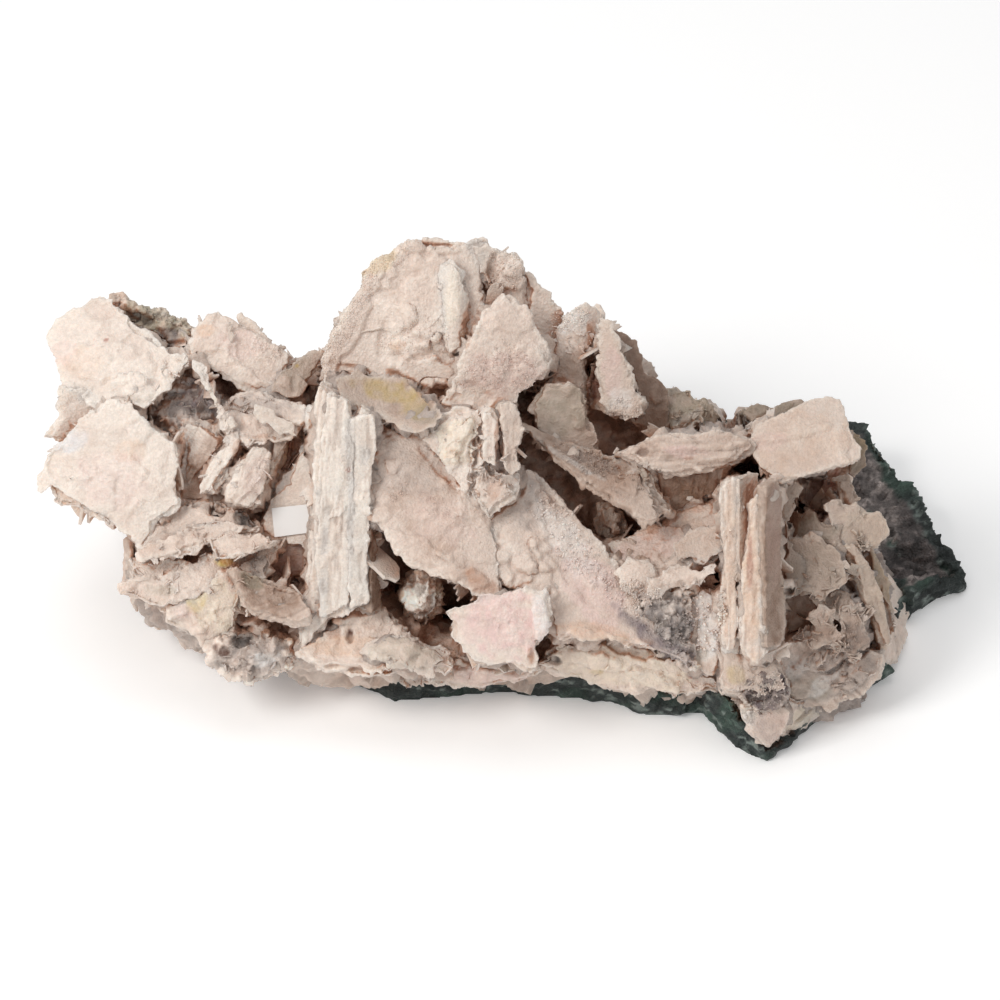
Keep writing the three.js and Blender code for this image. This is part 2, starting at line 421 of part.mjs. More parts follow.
function solid(geometry) {
  const bare = geometry.clone();
  bare.deleteAttribute("normal");
  bare.deleteAttribute("uv");
  const merged = mergeVertices(bare, 1e-4);
  return new wasm.Manifold(new wasm.Mesh({
    numProp: 3,
    vertProperties: new Float32Array(merged.attributes.position.array),
    triVerts: new Uint32Array(merged.index.array),
  }));
}

// The largest shell of a solid: pockets that are closed all round are left filled.
function outerShell(body) {
  const { vertProperties, triVerts } = body.getMesh();
  const owner = Array.from({ length: vertProperties.length / 3 }, (_, i) => i);
  const find = (i) => {
    let root = i;
    while (owner[root] !== root) root = owner[root];
    while (owner[i] !== root) [owner[i], i] = [root, owner[i]];
    return root;
  };
  for (let i = 0; i < triVerts.length; i += 3) {
    owner[find(triVerts[i])] = find(triVerts[i + 1]);
    owner[find(triVerts[i + 1])] = find(triVerts[i + 2]);
  }
  const shells = new Map();
  for (let i = 0; i < triVerts.length; i += 3) {
    const root = find(triVerts[i]);
    if (!shells.has(root)) shells.set(root, []);
    shells.get(root).push(triVerts[i], triVerts[i + 1], triVerts[i + 2]);
  }
  const largest = [...shells.values()].sort((a, b) => b.length - a.length)[0];
  const geometry = new THREE.BufferGeometry();
  geometry.setAttribute("position", new THREE.BufferAttribute(vertProperties, 3));
  geometry.setIndex(largest);
  return geometry;
}

function meshOf(name, geometry, color, roughness) {
  const shown = geometry.toNonIndexed();
  shown.computeVertexNormals();
  const mesh = new THREE.Mesh(shown, new THREE.MeshStandardMaterial({ color, roughness, metalness: 0 }));
  mesh.name = name;
  return mesh;
}

const labelFace = BLADES.find(([name]) => name === "label_face");
const labelPlane = planeOf(labelFace[1], labelFace[2], labelFace[3], labelFace[5]);
const label = slab(labelPlane, LABEL_OUTLINE, LABEL_THICK, -GAP - LABEL_THICK);
const labelRoom = solid(slab(labelPlane, LABEL_ROOM_OUTLINE, LABEL_ROOM, -LABEL_ROOM));

const floorRoom = solid(new THREE.BoxGeometry(...FLOOR_ROOM)
  .translate(0, 0, QUARTZ_CLEARANCE - FLOOR_ROOM[2] / 2));
let quartz = LUMPS.map(lumpSolid).reduce((sum, lump) => sum.add(lump));
quartz = BACK_BLADES.map(backBladeSolid).reduce((sum, blade) => sum.add(blade), quartz);
quartz = BLADES.map(bladeSolid).reduce((sum, blade) => sum.add(blade), quartz);
quartz = quartz.subtract(slabOfBasalt(GAP)).subtract(floorRoom).subtract(labelRoom);

const specimen = new THREE.Group();
specimen.add(meshOf("quartz_blades", outerShell(quartz), "#d8c8bb", 0.6));
specimen.add(meshOf("basalt_matrix", outerShell(slabOfBasalt(0)), "#2e3a36", 0.85));
specimen.add(meshOf("paper_label", outerShell(solid(label)), "#ece9e6", 0.8));
export default specimen;
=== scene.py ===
"""Quartz pseudomorph: looks of the bladed quartz, its basalt slab and its paper label."""
import math

import bmesh
import bpy
import numpy as np
from mathutils import Matrix, Vector
from mathutils.kdtree import KDTree


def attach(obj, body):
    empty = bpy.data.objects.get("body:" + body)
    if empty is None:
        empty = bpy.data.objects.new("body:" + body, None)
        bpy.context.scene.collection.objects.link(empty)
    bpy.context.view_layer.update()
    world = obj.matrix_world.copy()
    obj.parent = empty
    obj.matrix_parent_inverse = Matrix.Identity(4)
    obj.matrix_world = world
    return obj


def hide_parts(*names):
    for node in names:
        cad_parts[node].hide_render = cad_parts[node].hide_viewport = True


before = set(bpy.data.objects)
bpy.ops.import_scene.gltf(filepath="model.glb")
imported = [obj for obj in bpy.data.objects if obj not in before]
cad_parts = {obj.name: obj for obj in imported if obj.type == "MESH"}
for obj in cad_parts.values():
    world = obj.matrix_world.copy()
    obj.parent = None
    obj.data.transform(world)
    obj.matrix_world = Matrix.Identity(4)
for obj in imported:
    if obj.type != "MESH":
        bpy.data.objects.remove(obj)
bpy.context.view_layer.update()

# ---------------------------------------------------------------- sizes, in millimetres
MM = 0.001
SHEET_UNIT = 0.28             # one unit of the drawing sheet
SHEET_MIDDLE = 500
SHEET_TILT = math.radians(40)
SIGHT_LENGTH = 1556.0         # from the eye to the sheet's middle
FRONT_TIP = 762               # sheet row of the slab's foremost point on the floor
FOOT_MIDDLE = np.array([2.8, 70.0, 0.0])

BLADE_GRAIN = 0.48            # mesh size on the show side
BACK_GRAIN = 0.95             # mesh size on the back
MASS_GRAIN = 1.3
SLAB_GRAIN = 0.8
MOST_TRIANGLES = 190000       # in one piece; past it a cluster is cut into several

LAMELLA = 1.9                 # thickness of one plate of a blade's stack
EDGE_STEP = 1.2               # between the points that a broken edge is drawn with
FURTHEST_EDGE = 6.0           # past it a point is far from a blade's edge
FLAKE_ROOT = 0.5              # how deep a flake of a further lamella sits in the blade
FLAKE_TIP = 7                 # most degrees by which a flake leans
STEP_SIZE = 15.0              # width of the levels that a face breaks down in
CHIP_SIZE = 1.7
SUGAR_SIZE = 0.95             # coarser than real sugar quartz, so that it shows
SLAT_WIDTH = 1.7              # of a fibrous blade
THREAD_WIDTH = 0.75

FILL_CELL = 4                 # sheet units to a cell of the depth map
STEEPEST = 1.6                # rows that the back's own skyline may fall for each column
MOST_ABOVE = 110              # sheet units that a point may be moved down to the skyline
SKY_MARGIN = 60.0             # sheet units under the skyline within which bladelets are kept low
ROCK_COLUMNS = 760, 850       # between these the mass turns from quartz to the grey matrix
LUMP_INSET = 1.5              # by which a lump is drawn in before its surface is roughened
CAVITY_DEPTH = 22
AROUND_BLADE = 24             # how much of the mass says which way is out for a blade
UNDER_BLADE = 10              # how much of it the blade has to stand clear of

BACK_SIDES = 5
BACK_UNEVEN = 0.28
BACK_FINISHES = "plate", "sugar", "chalk", "plate", "shell"

OPEN_CELL = 1.6               # of the map of stone that the recesses are judged with
ROOM_AROUND = 4
LOOK_STEPS = 3, 5.5, 8, 11, 14.5, 19, 24, 30

STONE_IOR = 1.54
SPECKLES_PER_METRE = 900.0    # colour speckles of about 1 mm
GRAINS_PER_METRE = 1500.0     # surface grains of about 0.7 mm
SENSOR_WIDTH = 36

RIGHT = np.array([1.0, 0.0, 0.0])
UP = np.array([0.0, math.sin(SHEET_TILT), math.cos(SHEET_TILT)])
DEEP = np.array([0.0, math.cos(SHEET_TILT), -math.sin(SHEET_TILT)])
SHEET_CENTRE = UP * (FRONT_TIP - SHEET_MIDDLE) * SHEET_UNIT - FOOT_MIDDLE
EYE = SHEET_CENTRE - DEEP * SIGHT_LENGTH

# ---------------------------------------------------------------- the grown shapes
def outline_of(corners):
    """The corners of an outline, from their columns and rows on the sheet."""
    return np.array([corner.split(",") for corner in corners.split()], dtype=float)


def by_blade(groups):
    """A value for each blade, from the names of the blades that share it."""
    return {blade: value for value, blades in groups.items() for blade in blades.split()}


# Each blade: name, depth behind the sheet (mm), lean and turn of its face (degrees; a lean tips
# the top away, a turn swings the right side away), thickness (mm), outline on the sheet.
BLADES = {
    "left_upper": [
        ["upper_left_plate", -2, 18, -12, 7, "97,291 70,310 43,329 50,352 56,375 60,392 85,399 102,405 "
         "118,400 150,402 172,378 187,356 158,341 130,320 112,300"],
        ["dark_rear_rock", 10, 0, 0, 9, "112,297 145,307 163,311 185,320 192,332 190,356 165,352 "
         "125,318"],
        ["left_pale_block", -1, -25, 0, 9, "59,388 53,404 56,418 44,438 80,448 120,440 130,404 85,390"],
        ["upper_round_plate", 2, 12, 5, 5, "192,327 212,309 238,313 250,325 270,339 292,358 284,374 "
         "270,392 248,390 205,364 190,352"],
        ["upper_round_back", 7, 10, 5, 5, "236,312 252,324 272,338 294,355 298,362 284,372 248,340"],
        ["leaning_blade", 0, 5, 15, 5, "296,358 320,350 328,354 318,374 308,392 298,404 268,390 "
         "280,372"],
        ["pinkish_slab", -3, 30, 0, 6, "223,404 232,391 262,389 297,404 320,412 296,424 262,414"],
        ["white_edge_blade", -9, 0, 0, 6, "193,360 200,362 212,384 222,402 234,428 228,432 214,408 "
         "202,384"],
        ["white_knob", -6, 0, 0, 7, "300,412 310,404 320,412 317,432 304,434"],
        ["grey_patch", 2, 8, 0, 8, "130,404 148,386 168,376 186,358 206,376 224,402 236,432 208,434 "
         "186,424 164,436 140,418"],
    ],
    "left_comb": [
        ["lower_left_plate", -6, -8, -8, 6, "117,402 130,403 140,418 165,437 178,450 178,500 183,507 "
         "150,523 143,553 128,539 114,526 80,504 50,489 40,497 30,484 43,452 61,441 80,415 100,406"],
        ["lower_left_underside", -1, 35, 0, 5, "48,482 79,482 100,500 114,524 80,506 58,500"],
        ["comb_left", 1, -5, -20, 6, "164,436 184,424 206,430 222,438 212,456 196,476 184,502 176,500"],
        ["comb_cap", -5, 30, 0, 6, "218,412 236,406 266,416 292,430 272,437 250,441 228,434"],
        ["comb_ridge_upper", -6, 0, -15, 9, "226,436 234,426 241,431 237,448 222,470 210,488 199,497 "
         "196,490 209,464"],
        ["comb_ridge_lower", -3, 0, -10, 7, "214,470 228,466 231,476 217,492 207,497 204,486"],
        ["curved_blade", -7, -5, 12, 5, "254,446 272,450 276,462 266,486 252,510 238,507 224,500 "
         "234,480 243,462"],
        ["slot_blade", -4, 0, 5, 8, "272,436 284,428 292,434 284,452 270,480 260,506 250,510 264,478"],
        ["slot_right", 3, 0, -20, 8, "292,432 306,428 312,440 298,462 284,484 264,506 262,496 278,468"],
        ["thin_diagonal", -8, 0, 0, 5, "256,406 282,419 299,432 293,438 260,418"],
        ["label_face", 1, -4, -8, 6, "306,436 324,436 324,548 290,542 258,534 262,516 285,475"],
        ["comb_floor", 3, -5, 5, 6, "188,424 240,426 308,424 306,446 282,486 262,512 214,510 176,502 "
         "182,460"],
    ],
    "left_lower": [
        ["hole_ledge", -2, 15, 0, 6, "178,503 210,500 232,506 262,522 262,536 232,532 196,532 142,550 "
         "150,524"],
        ["upper_slat", -6, 25, 0, 5, "133,548 190,524 232,520 250,526 205,542 180,554 134,562"],
        ["right_slat", -8, 35, 0, 5, "204,534 232,528 262,534 280,541 258,550 214,562"],
        ["long_slat", -3, 10, 0, 8, "130,558 180,560 225,552 242,562 230,576 196,602 150,604 120,600 "
         "112,590 114,579 129,578"],
        ["lower_cream_blade", -2, -15, 0, 8, "228,566 242,582 246,602 228,640 212,654 200,650 190,631 "
         "168,620 176,605 206,588"],
        ["grey_nub", -6, 0, 0, 10, "206,642 226,632 262,634 290,640 296,656 280,672 250,681 230,678 "
         "212,660"],
        ["boat_blade", -10, 20, 5, 5, "228,568 285,583 302,594 314,622 296,625 252,611 240,596"],
        ["wedge_above_boat", -5, 15, 0, 6, "228,566 262,547 282,541 266,578 245,574"],
        ["pink_recess", 6, -10, 0, 6, "250,560 290,530 306,528 310,594 290,590 255,582"],
    ],
    "column": [
        ["column_core", -13, -10, -4, 14, "318,384 342,398 346,414 353,416 357,404 373,408 377,425 "
         "374,450 372,520 370,570 373,606 330,622 316,640 304,654 296,650 305,560 312,480 313,410"],
        ["column_rib_left", -14.6, -10, -6, 4, "326,394 348,400 356,450 355,540 352,604 318,622 "
         "314,560 318,470"],
        ["column_rib_right", -15, -10, 2, 4, "347,420 374,412 376,440 372,500 368,545 371,604 348,614 "
         "345,480"],
        ["column_side", -9, -10, 45, 8, "368,524 380,531 381,575 384,612 370,614"],
        ["column_foot", -6, 25, 0, 12, "296,650 318,634 350,606 386,606 420,640 450,652 455,668 "
         "380,672 322,667"],
        ["pale_lump", -14, 25, 0, 8, "364,642 378,628 402,630 440,651 432,666 392,664"],
        ["cavity_lump", -3, 0, 0, 8, "398,594 405,574 424,567 441,580 445,604 432,620 405,617"],
    ],
    "tall_fan": [
        ["fan_core", -3, 0, 0, 12, "318,380 326,353 338,332 347,308 357,290 364,265 392,244 418,237 "
         "440,240 465,243 487,236 488,262 484,310 465,385 444,414 400,402 352,384 335,394"],
        ["fan_ridge", -7.5, -2, 0, 7, "440,266 452,260 464,270 465,310 460,344 448,352 440,314"],
        ["fan_rear_right", 1, -5, 14, 9, "468,244 487,236 499,253 512,253 524,261 530,278 534,302 "
         "524,318 500,306 480,276"],
        ["fan_front_right", -9, -5, 8, 7, "505,298 535,311 537,330 549,350 549,365 520,394 523,400 "
         "510,406 465,414 440,405 452,385 463,350 484,310"],
        ["yellow_dish", -12, 30, 0, 4, "337,388 352,381 400,378 425,403 446,424 420,441 385,416 "
         "345,405"],
        ["small_white_blade", -16, 0, 0, 6, "420,440 432,426 445,425 448,450 442,459"],
    ],
    "centre_plates": [
        ["central_plate", -13, 12, 5, 7, "374,414 410,431 430,440 448,468 490,506 497,540 504,600 "
         "490,604 455,583 430,571 405,560 388,534 366,514 372,450"],
        ["bone_rib_left", -17, -5, -5, 9, "428,428 446,410 462,404 482,407 486,432 482,464 468,500 "
         "448,478 438,455"],
        ["bone_rib_middle", -20, -5, 0, 8, "480,412 493,407 500,426 495,467 484,460"],
        ["bone_rib_right", -19, -5, 8, 8, "500,404 512,401 521,412 525,436 519,452 523,470 512,479 "
         "503,470"],
        ["bone_rib_foot", -16, 0, 0, 8, "466,478 486,462 500,474 518,476 513,498 488,515 474,503"],
        ["long_blade", -9, 15, 8, 7, "505,480 518,470 532,467 566,507 580,516 625,576 692,664 605,642 "
         "556,642 545,602 500,585 486,545 490,505"],
        ["rose_plate", -19, -8, 0, 7, "445,612 490,595 545,589 552,606 549,635 537,646 541,663 530,677 "
         "500,669 470,659 452,640"],
    ],
    "upper_right": [
        ["rear_shoulder", 6, -5, 20, 8, "524,272 535,275 543,290 553,292 551,302 566,308 562,332 "
         "548,352 532,330"],
        ["crumbly_blade", 3, -10, 12, 6, "545,356 551,338 564,322 575,307 588,304 600,305 604,318 "
         "600,338 592,354 586,370 592,398 572,406 552,394 544,374"],
        ["pointed_blade", -2, -10, -5, 6, "598,326 607,318 618,338 628,362 634,386 646,404 642,414 "
         "630,421 612,418 598,406 597,366"],
        ["pointed_blade_side", 2, -5, -40, 8, "586,380 594,346 602,320 606,350 606,412 588,404"],
        ["grey_side_blade", 8, -5, 30, 7, "610,324 638,341 643,370 661,379 668,392 670,428 650,434 "
         "630,424 646,406"],
        ["greenish_lump", -3, -10, 4, 6, "529,412 535,395 548,383 562,386 575,380 584,392 592,418 "
         "600,444 592,456 564,446 540,432"],
        ["upper_boat_blade", -8, 35, 8, 6, "523,428 562,438 600,452 640,464 652,500 658,519 645,520 "
         "600,493 575,473 552,458"],
        ["long_flat_blade", -11, 5, 0, 10, "610,454 640,440 662,432 720,430 757,438 757,450 738,464 "
         "680,476 636,464"],
        ["fluted_edge", -9, -5, -10, 8, "633,464 650,466 656,490 674,516 650,516 640,490"],
        ["fluted_face", -3, -35, 0, 7, "650,468 700,472 732,464 730,492 700,502 674,516 658,506"],
        ["cavity_slab", 7, -10, 20, 14, "600,506 618,506 630,532 612,540 598,532"],
        ["rear_grey_lump", 13, 5, 10, 14, "662,392 680,386 700,397 722,408 728,422 724,436 690,436 "
         "664,430"],
        ["rear_crust", 20, 20, 0, 12, "738,412 745,404 768,402 800,404 812,412 770,432 740,436"],
    ],
    "right_side": [
        ["square_blade", -9, 25, -5, 6, "757,424 785,411 812,398 836,394 844,402 852,436 862,450 "
         "858,459 828,468 800,475 780,480 762,468 746,440"],
        ["tablet_left_edge", -17, -5, 0, 18, "721,488 728,478 742,478 744,540 743,600 741,654 722,656"],
        ["tablet_left_face", -15, -5, 50, 7, "740,478 758,470 760,500 756,540 750,580 740,584"],
        ["tablet_right_edge", -19, -5, 0, 14, "748,504 766,485 769,520 767,600 769,655 756,666 740,650 "
         "743,560"],
        ["tablet_right_face", -17, -5, 50, 8, "765,486 779,476 783,500 783,570 787,625 782,645 766,650"],
        ["tablet_foot", -10, 10, 0, 12, "716,640 745,600 768,610 778,655 792,690 768,700 722,688"],
        ["smooth_rear_plate", -6, -5, 5, 6, "779,477 800,471 803,488 790,512 795,548 812,560 815,574 "
         "804,592 780,596"],
        ["dark_lower_face", 0, -15, 0, 8, "780,590 802,586 824,602 822,622 796,632 780,632"],
        ["sloping_plate", -3, 30, -8, 7, "608,544 660,520 700,502 727,491 727,552 700,563 645,577 "
         "622,568"],
        ["saucer", -7, 20, 0, 4, "668,545 690,528 712,524 732,528 730,546 716,552 706,563 690,558 "
         "676,564"],
        ["cusp_blade", -13, 25, 0, 6, "646,580 680,560 696,557 692,569 718,568 710,580 668,590 648,592"],
        ["pale_dome", -11, 10, 0, 6, "617,572 625,560 638,556 651,563 657,577 648,590 624,586"],
        ["upper_shell", -4, 5, -28, 5, "786,506 800,514 812,508 822,520 838,524 832,540 840,552 "
         "822,550 806,558 798,545 786,548"],
        ["lower_shell", -6, -5, -24, 5, "783,545 799,539 820,536 838,548 846,568 839,588 822,597 "
         "806,590 793,598 784,588"],
        ["striped_recess", 10, -10, -10, 8, "796,474 850,460 848,492 838,518 818,522 798,500"],
        ["cream_fan", -5, -5, 10, 5, "826,506 838,496 848,508 856,500 864,514 878,510 890,532 878,548 "
         "862,544 854,560 846,546 836,552"],
        ["yellow_twist", 5, -5, 20, 8, "846,424 858,430 868,440 870,456 862,476 850,480 846,462"],
        ["right_thin_blade", 1, -5, 20, 12, "838,482 852,478 860,502 868,522 856,532 844,514"],
        ["right_long_front", -3, -10, 20, 9, "846,548 858,544 874,572 890,612 897,642 886,658 866,604"],
        ["right_long_rear", 2, -10, 20, 9, "862,540 874,538 888,572 902,624 896,640 878,594"],
        ["white_flake_upper", -4, 10, 0, 6, "808,596 822,586 836,592 856,590 850,604 854,618 836,612 "
         "824,620"],
        ["white_flake_left", -6, -5, -10, 5, "806,612 820,606 834,612 830,624 846,634 836,650 824,642 "
         "812,650 814,630"],
        ["white_flake_right", -5, -5, 10, 5, "840,612 852,606 866,616 862,628 876,640 860,650 852,666 "
         "844,650 834,642 844,628"],
        ["lower_right_face", 2, -20, 8, 12, "776,650 812,634 884,656 880,680 862,699 842,703 828,716 "
         "806,712 780,690"],
        ["purple_lump", -12, -10, 0, 6, "740,684 762,672 784,676 792,694 780,711 752,716 742,704"],
        ["orange_triangle", -6.5, -15, 0, 8, "744,708 770,702 790,710 784,732 766,750 753,737"],
        ["tip_face", 5, -25, 37, 8, "746,712 770,700 806,704 836,692 866,678 884,666 884,672 846,696 "
         "804,726 768,752 754,738"],
        ["ribbed_druse", -8, -5, -5, 9, "678,604 700,588 724,594 724,656 712,678 694,668"],
        ["grey_druse", -11, 5, 5, 12, "628,590 690,586 696,640 698,672 664,650"],
        ["cream_apron", -2, -28, 0, 12, "540,664 556,640 605,638 692,664 724,688 718,697 640,698 "
         "606,692 584,682 560,676"],
        ["front_apron", 3, -34, 0, 14, "294,658 322,650 380,654 450,660 540,668 533,677 500,684 "
         "470,690 432,684 404,692 388,678 345,672"],
    ],
}

# Lumps of the mass: column, row and depth of the middle, half size across, up and deep (mm).
LUMPS = [
    [470, 470, 34, 62, 42, 27], [430, 362, 25, 30, 27, 18], [190, 432, 24, 37, 30, 17],
    [140, 372, 16, 22, 15, 12], [215, 570, 22, 26, 24, 18], [250, 645, 6, 12, 10, 11],
    [188, 402, 8, 13, 13, 12], [360, 640, 16, 28, 15, 17], [520, 650, 20, 38, 12, 18],
    [690, 655, 16, 32, 15, 18], [800, 670, 15, 22, 17, 15], [770, 560, 40, 38, 32, 28],
    [690, 480, 42, 42, 24, 28], [690, 565, 60, 42, 26, 26], [852, 610, 30, 13, 22, 16],
    [790, 465, 56, 26, 14, 18], [450, 432, 60, 62, 28, 20], [290, 440, 46, 44, 22, 20],
    [580, 385, 28, 22, 18, 16], [425, 600, 2, 5, 9, 8], [650, 625, 8, 14, 14, 10],
    [320, 540, 22, 26, 26, 16],
]

# Blades of the back: middle over the floor (x, y, z), width, height, thickness (mm), the way the
# face looks (degrees round from +X) and its slope.
BACK_BLADES = [
    # high on the back
    [-28, 104, 84, 34, 30, 5, 110, 25], [-6, 108, 80, 36, 32, 5, 75, 20], [14, 106, 63, 34, 32, 5, 60, 30],
    [-70, 100, 57, 34, 30, 5, 95, 35], [-94, 96, 64, 34, 26, 5, 110, 20], [-48, 102, 48, 34, 30, 5, 120, 20],
    # half way up
    [-112, 90, 56, 28, 30, 5, 150, 5], [-88, 108, 48, 34, 30, 5, 100, 10], [-64, 118, 36, 36, 32, 6, 120, 0],
    [-28, 130, 46, 32, 28, 6, 80, 10], [-8, 132, 58, 38, 32, 6, 105, 15], [14, 132, 38, 40, 34, 6, 75, -5],
    [38, 120, 36, 34, 30, 6, 110, 15], [58, 112, 20, 32, 26, 6, 60, 20], [80, 108, 21, 30, 24, 6, 100, 15],
    [98, 104, 24, 26, 22, 5, 40, 10],
    # low on the back
    [-98, 86, 36, 30, 24, 5, 140, -30], [-74, 110, 32, 34, 26, 6, 115, -15], [-48, 126, 24, 36, 26, 6, 95, 5],
    [-22, 133, 28, 36, 28, 6, 70, 0], [6, 135, 26, 40, 26, 6, 100, -8], [32, 131, 22, 36, 24, 6, 85, 10],
    [56, 126, 14, 34, 20, 6, 110, 10], [80, 120, 15, 30, 18, 6, 80, 15], [102, 114, 16, 26, 16, 5, 60, 20],
    # lying over the top, towards the back
    [62, 96, 38, 34, 30, 5, 80, 40], [86, 92, 41, 32, 28, 5, 60, 35], [40, 100, 50, 32, 30, 5, 110, 40],
    [100, 84, 33, 26, 28, 5, 20, 30], [74, 108, 33, 34, 26, 5, 100, 15], [-30, 110, 70, 32, 28, 5, 70, 35],
    [-56, 104, 57, 34, 28, 5, 110, 40], [-84, 92, 76, 30, 26, 5, 80, 50], [-104, 86, 76, 28, 24, 5, 130, 40],
    # fins that stand square to the back
    [-50, 114, 38, 30, 26, 4, 15, 10], [0, 124, 64, 28, 24, 4, 170, 15], [26, 124, 43, 26, 30, 4, 20, -10],
    [-38, 122, 40, 24, 30, 4, 200, 5], [48, 120, 20, 26, 26, 4, 10, 0], [-84, 102, 46, 26, 26, 4, 20, -5],
    # on the back of the tall fan
    [-34, 97, 98, 30, 24, 5, 100, 30], [-12, 100, 97, 32, 24, 5, 80, 35], [2, 104, 74, 30, 30, 5, 50, 20],
    [-46, 100, 70, 30, 28, 5, 135, 20],
    # more fins
    [-20, 116, 66, 28, 26, 4, 0, 20], [-66, 110, 48, 28, 26, 4, 40, 10], [20, 130, 50, 28, 26, 4, 150, 15],
    [66, 112, 32, 26, 26, 4, 165, 20], [90, 98, 36, 26, 24, 4, 140, 30], [-100, 92, 52, 26, 24, 4, 60, 0],
    # on the left flank
    [-118, 78, 52, 26, 24, 5, 180, 5], [-106, 70, 42, 24, 24, 5, 190, -10], [-98, 60, 30, 26, 24, 5, 180, -5],
    [-110, 84, 36, 24, 22, 5, 170, -15],
    # on the right flank
    [102, 82, 24, 26, 22, 5, 10, 25], [100, 60, 22, 28, 20, 5, -15, 30], [94, 66, 40, 28, 24, 5, 0, 35],
    [105, 44, 14, 22, 18, 5, -20, 20], [88, 84, 50, 26, 24, 5, 20, 40],
]

# Where the mass stays back: column, row, half width, half height, turn.
CAVITIES = [
    [414, 572, 36, 46, 0], [534, 396, 16, 26, 0], [590, 382, 9, 24, 0], [622, 438, 24, 13, 0],
    [592, 500, 62, 26, 32], [806, 612, 30, 16, 0], [302, 399, 6, 8, 0],
    [866, 664, 9, 9, 0], [352, 634, 14, 14, 0], [727, 424, 8, 13, 0], [762, 478, 4, 4, 0],
    [240, 628, 12, 12, 0], [630, 528, 20, 14, 0], [812, 500, 12, 20, 20],
]

# Slab of basalt: its outline over the floor and the height of its top edge there (mm).
SLAB_OUTLINE = [
    [-30, 25, 9], [0, 29, 8], [15, 27, 10], [31, 25, 9], [42, 19, 9], [57, 20, 9], [61, 15, 12],
    [66, 6, 14], [71, 2, 9], [75, 0, 4], [85, 12, 4], [97, 24.5, 4], [107.4, 33.5, 5], [111, 45, 7],
    [115.5, 59, 9], [125.5, 68.5, 8], [135.5, 74, 2.5], [129.6, 83, 9], [122.6, 98, 13],
    [113.4, 114, 18], [107.5, 125, 20], [80, 131, 18], [30, 134, 14], [-20, 130, 14],
    [-56, 114, 16], [-76, 86, 18], [-68, 60, 14], [-50, 40, 10],
]

LABEL_OUTLINE = "272,508 318,503 321,531 275,537"

# ---------------------------------------------------------------- surface finishes
# swell and roll: soft unevenness; facet and facet_size: broken flats; grain: height of the
# sugary crust; cover: how much of the face the crust covers; step: height of a lamella's step;
# along: length of the fibres; teeth: raggedness of the edge; edge: share of its thickness that
# a blade keeps at the edge. Heights and sizes in mm.
FINISHES = {
    "plate": dict(swell=0.35, flakes=80, roll=0.05, facet=0.05, facet_size=6.0, grain=0.12,
                  cover=-0.15, step=0.35, along=0, teeth=1.8, edge=0.5),
    "sugar": dict(swell=0.30, flakes=90, roll=0.08, facet=0.07, facet_size=5.0, grain=0.24,
                  cover=0.15, step=0.14, along=0, teeth=2.0, edge=0.55),
    "chalk": dict(swell=0.5, flakes=40, roll=0.20, facet=0.32, facet_size=4.5, grain=0.20,
                  cover=-0.1, step=0.8, along=0, teeth=2.1, edge=0.6),
    "fibre": dict(swell=0.25, flakes=90, roll=0.06, facet=0.06, facet_size=4.0, grain=0.10,
                  cover=-0.3, step=0.2, along=9, teeth=0.6, edge=1.0),
    "druse": dict(swell=0.8, flakes=60, roll=0.60, facet=1.10, facet_size=2.6, grain=0.55,
                  cover=1.0, step=0.0, along=0, teeth=1.2, edge=0.8),
    "shell": dict(swell=0.15, flakes=200, roll=0.05, facet=0.06, facet_size=5.0, grain=0.10,
                  cover=-0.3, step=0.25, along=0, teeth=2.2, edge=0.4),
    "slab": dict(swell=0.12, flakes=300, roll=0.05, facet=0.06, facet_size=5.0, grain=0.14,
                 cover=-0.1, step=0.30, along=0, teeth=0.6, edge=0.6),
}
FINISH_OF = by_blade({
    "sugar": "fan_core fan_rear_right fan_front_right upper_round_plate "
             "rear_shoulder small_white_blade crumbly_blade pinkish_slab rear_crust "
             "bone_rib_left upper_round_back",
    "chalk": "hole_ledge long_slat upper_slat right_slat column_foot pale_lump lower_cream_blade "
             "cream_apron front_apron bone_rib_foot rear_grey_lump "
             "comb_cap white_knob lower_left_underside tip_face",
    "fibre": "column_core column_rib_left column_rib_right column_side bone_rib_middle "
             "bone_rib_right tablet_left_edge tablet_right_edge fluted_face fluted_edge boat_blade "
             "tablet_foot lower_right_face long_flat_blade ribbed_druse striped_recess right_long_front "
             "comb_left comb_ridge_upper comb_ridge_lower curved_blade slot_blade slot_right right_long_rear",
    "druse": "dark_rear_rock grey_druse purple_lump grey_patch grey_nub cavity_lump",
    "shell": "saucer cusp_blade upper_shell lower_shell smooth_rear_plate white_edge_blade "
             "yellow_dish label_face pink_recess pointed_blade white_flake_left "
             "pointed_blade_side dark_lower_face thin_diagonal white_flake_right "
             "white_flake_upper comb_floor pale_dome",
    "slab": "square_blade tablet_left_face tablet_right_face",
})

# How far a blade's edges bend back from its middle (mm), across and along it.
BOW = {
    "yellow_dish": (-5, -3), "boat_blade": (-3, -1), "saucer": (-2, -1.5), "upper_boat_blade": (-4, 2),
    "lower_shell": (-1, -1.5), "upper_shell": (1, 1.5), "pale_dome": (1, 1), "curved_blade": (1, 0),
    "slot_right": (2, 0), "fan_core": (2, 2), "fan_front_right": (1.5, 1.5), "central_plate": (1, -1),
    "long_blade": (1, -2), "rose_plate": (1, 1), "upper_left_plate": (1.5, 1.5), "cusp_blade": (-3, 2),
    "lower_left_plate": (1.5, 1), "greenish_lump": (0.5, 0.5), "fan_ridge": (2, 1), "purple_lump": (3, 3),
    "pale_lump": (5, 4), "rear_grey_lump": (4, 4), "pointed_blade": (1, 0), "grey_side_blade": (1, 2),
    "crumbly_blade": (3, 1), "small_white_blade": (2, 1), "upper_round_plate": (1, 1.5),
    "right_long_front": (2, 0), "right_long_rear": (2, 0), "square_blade": (0.5, 1), "white_knob": (3, 3),
    "grey_nub": (4, 4), "grey_patch": (2, 2), "cavity_lump": (4, 4),
}
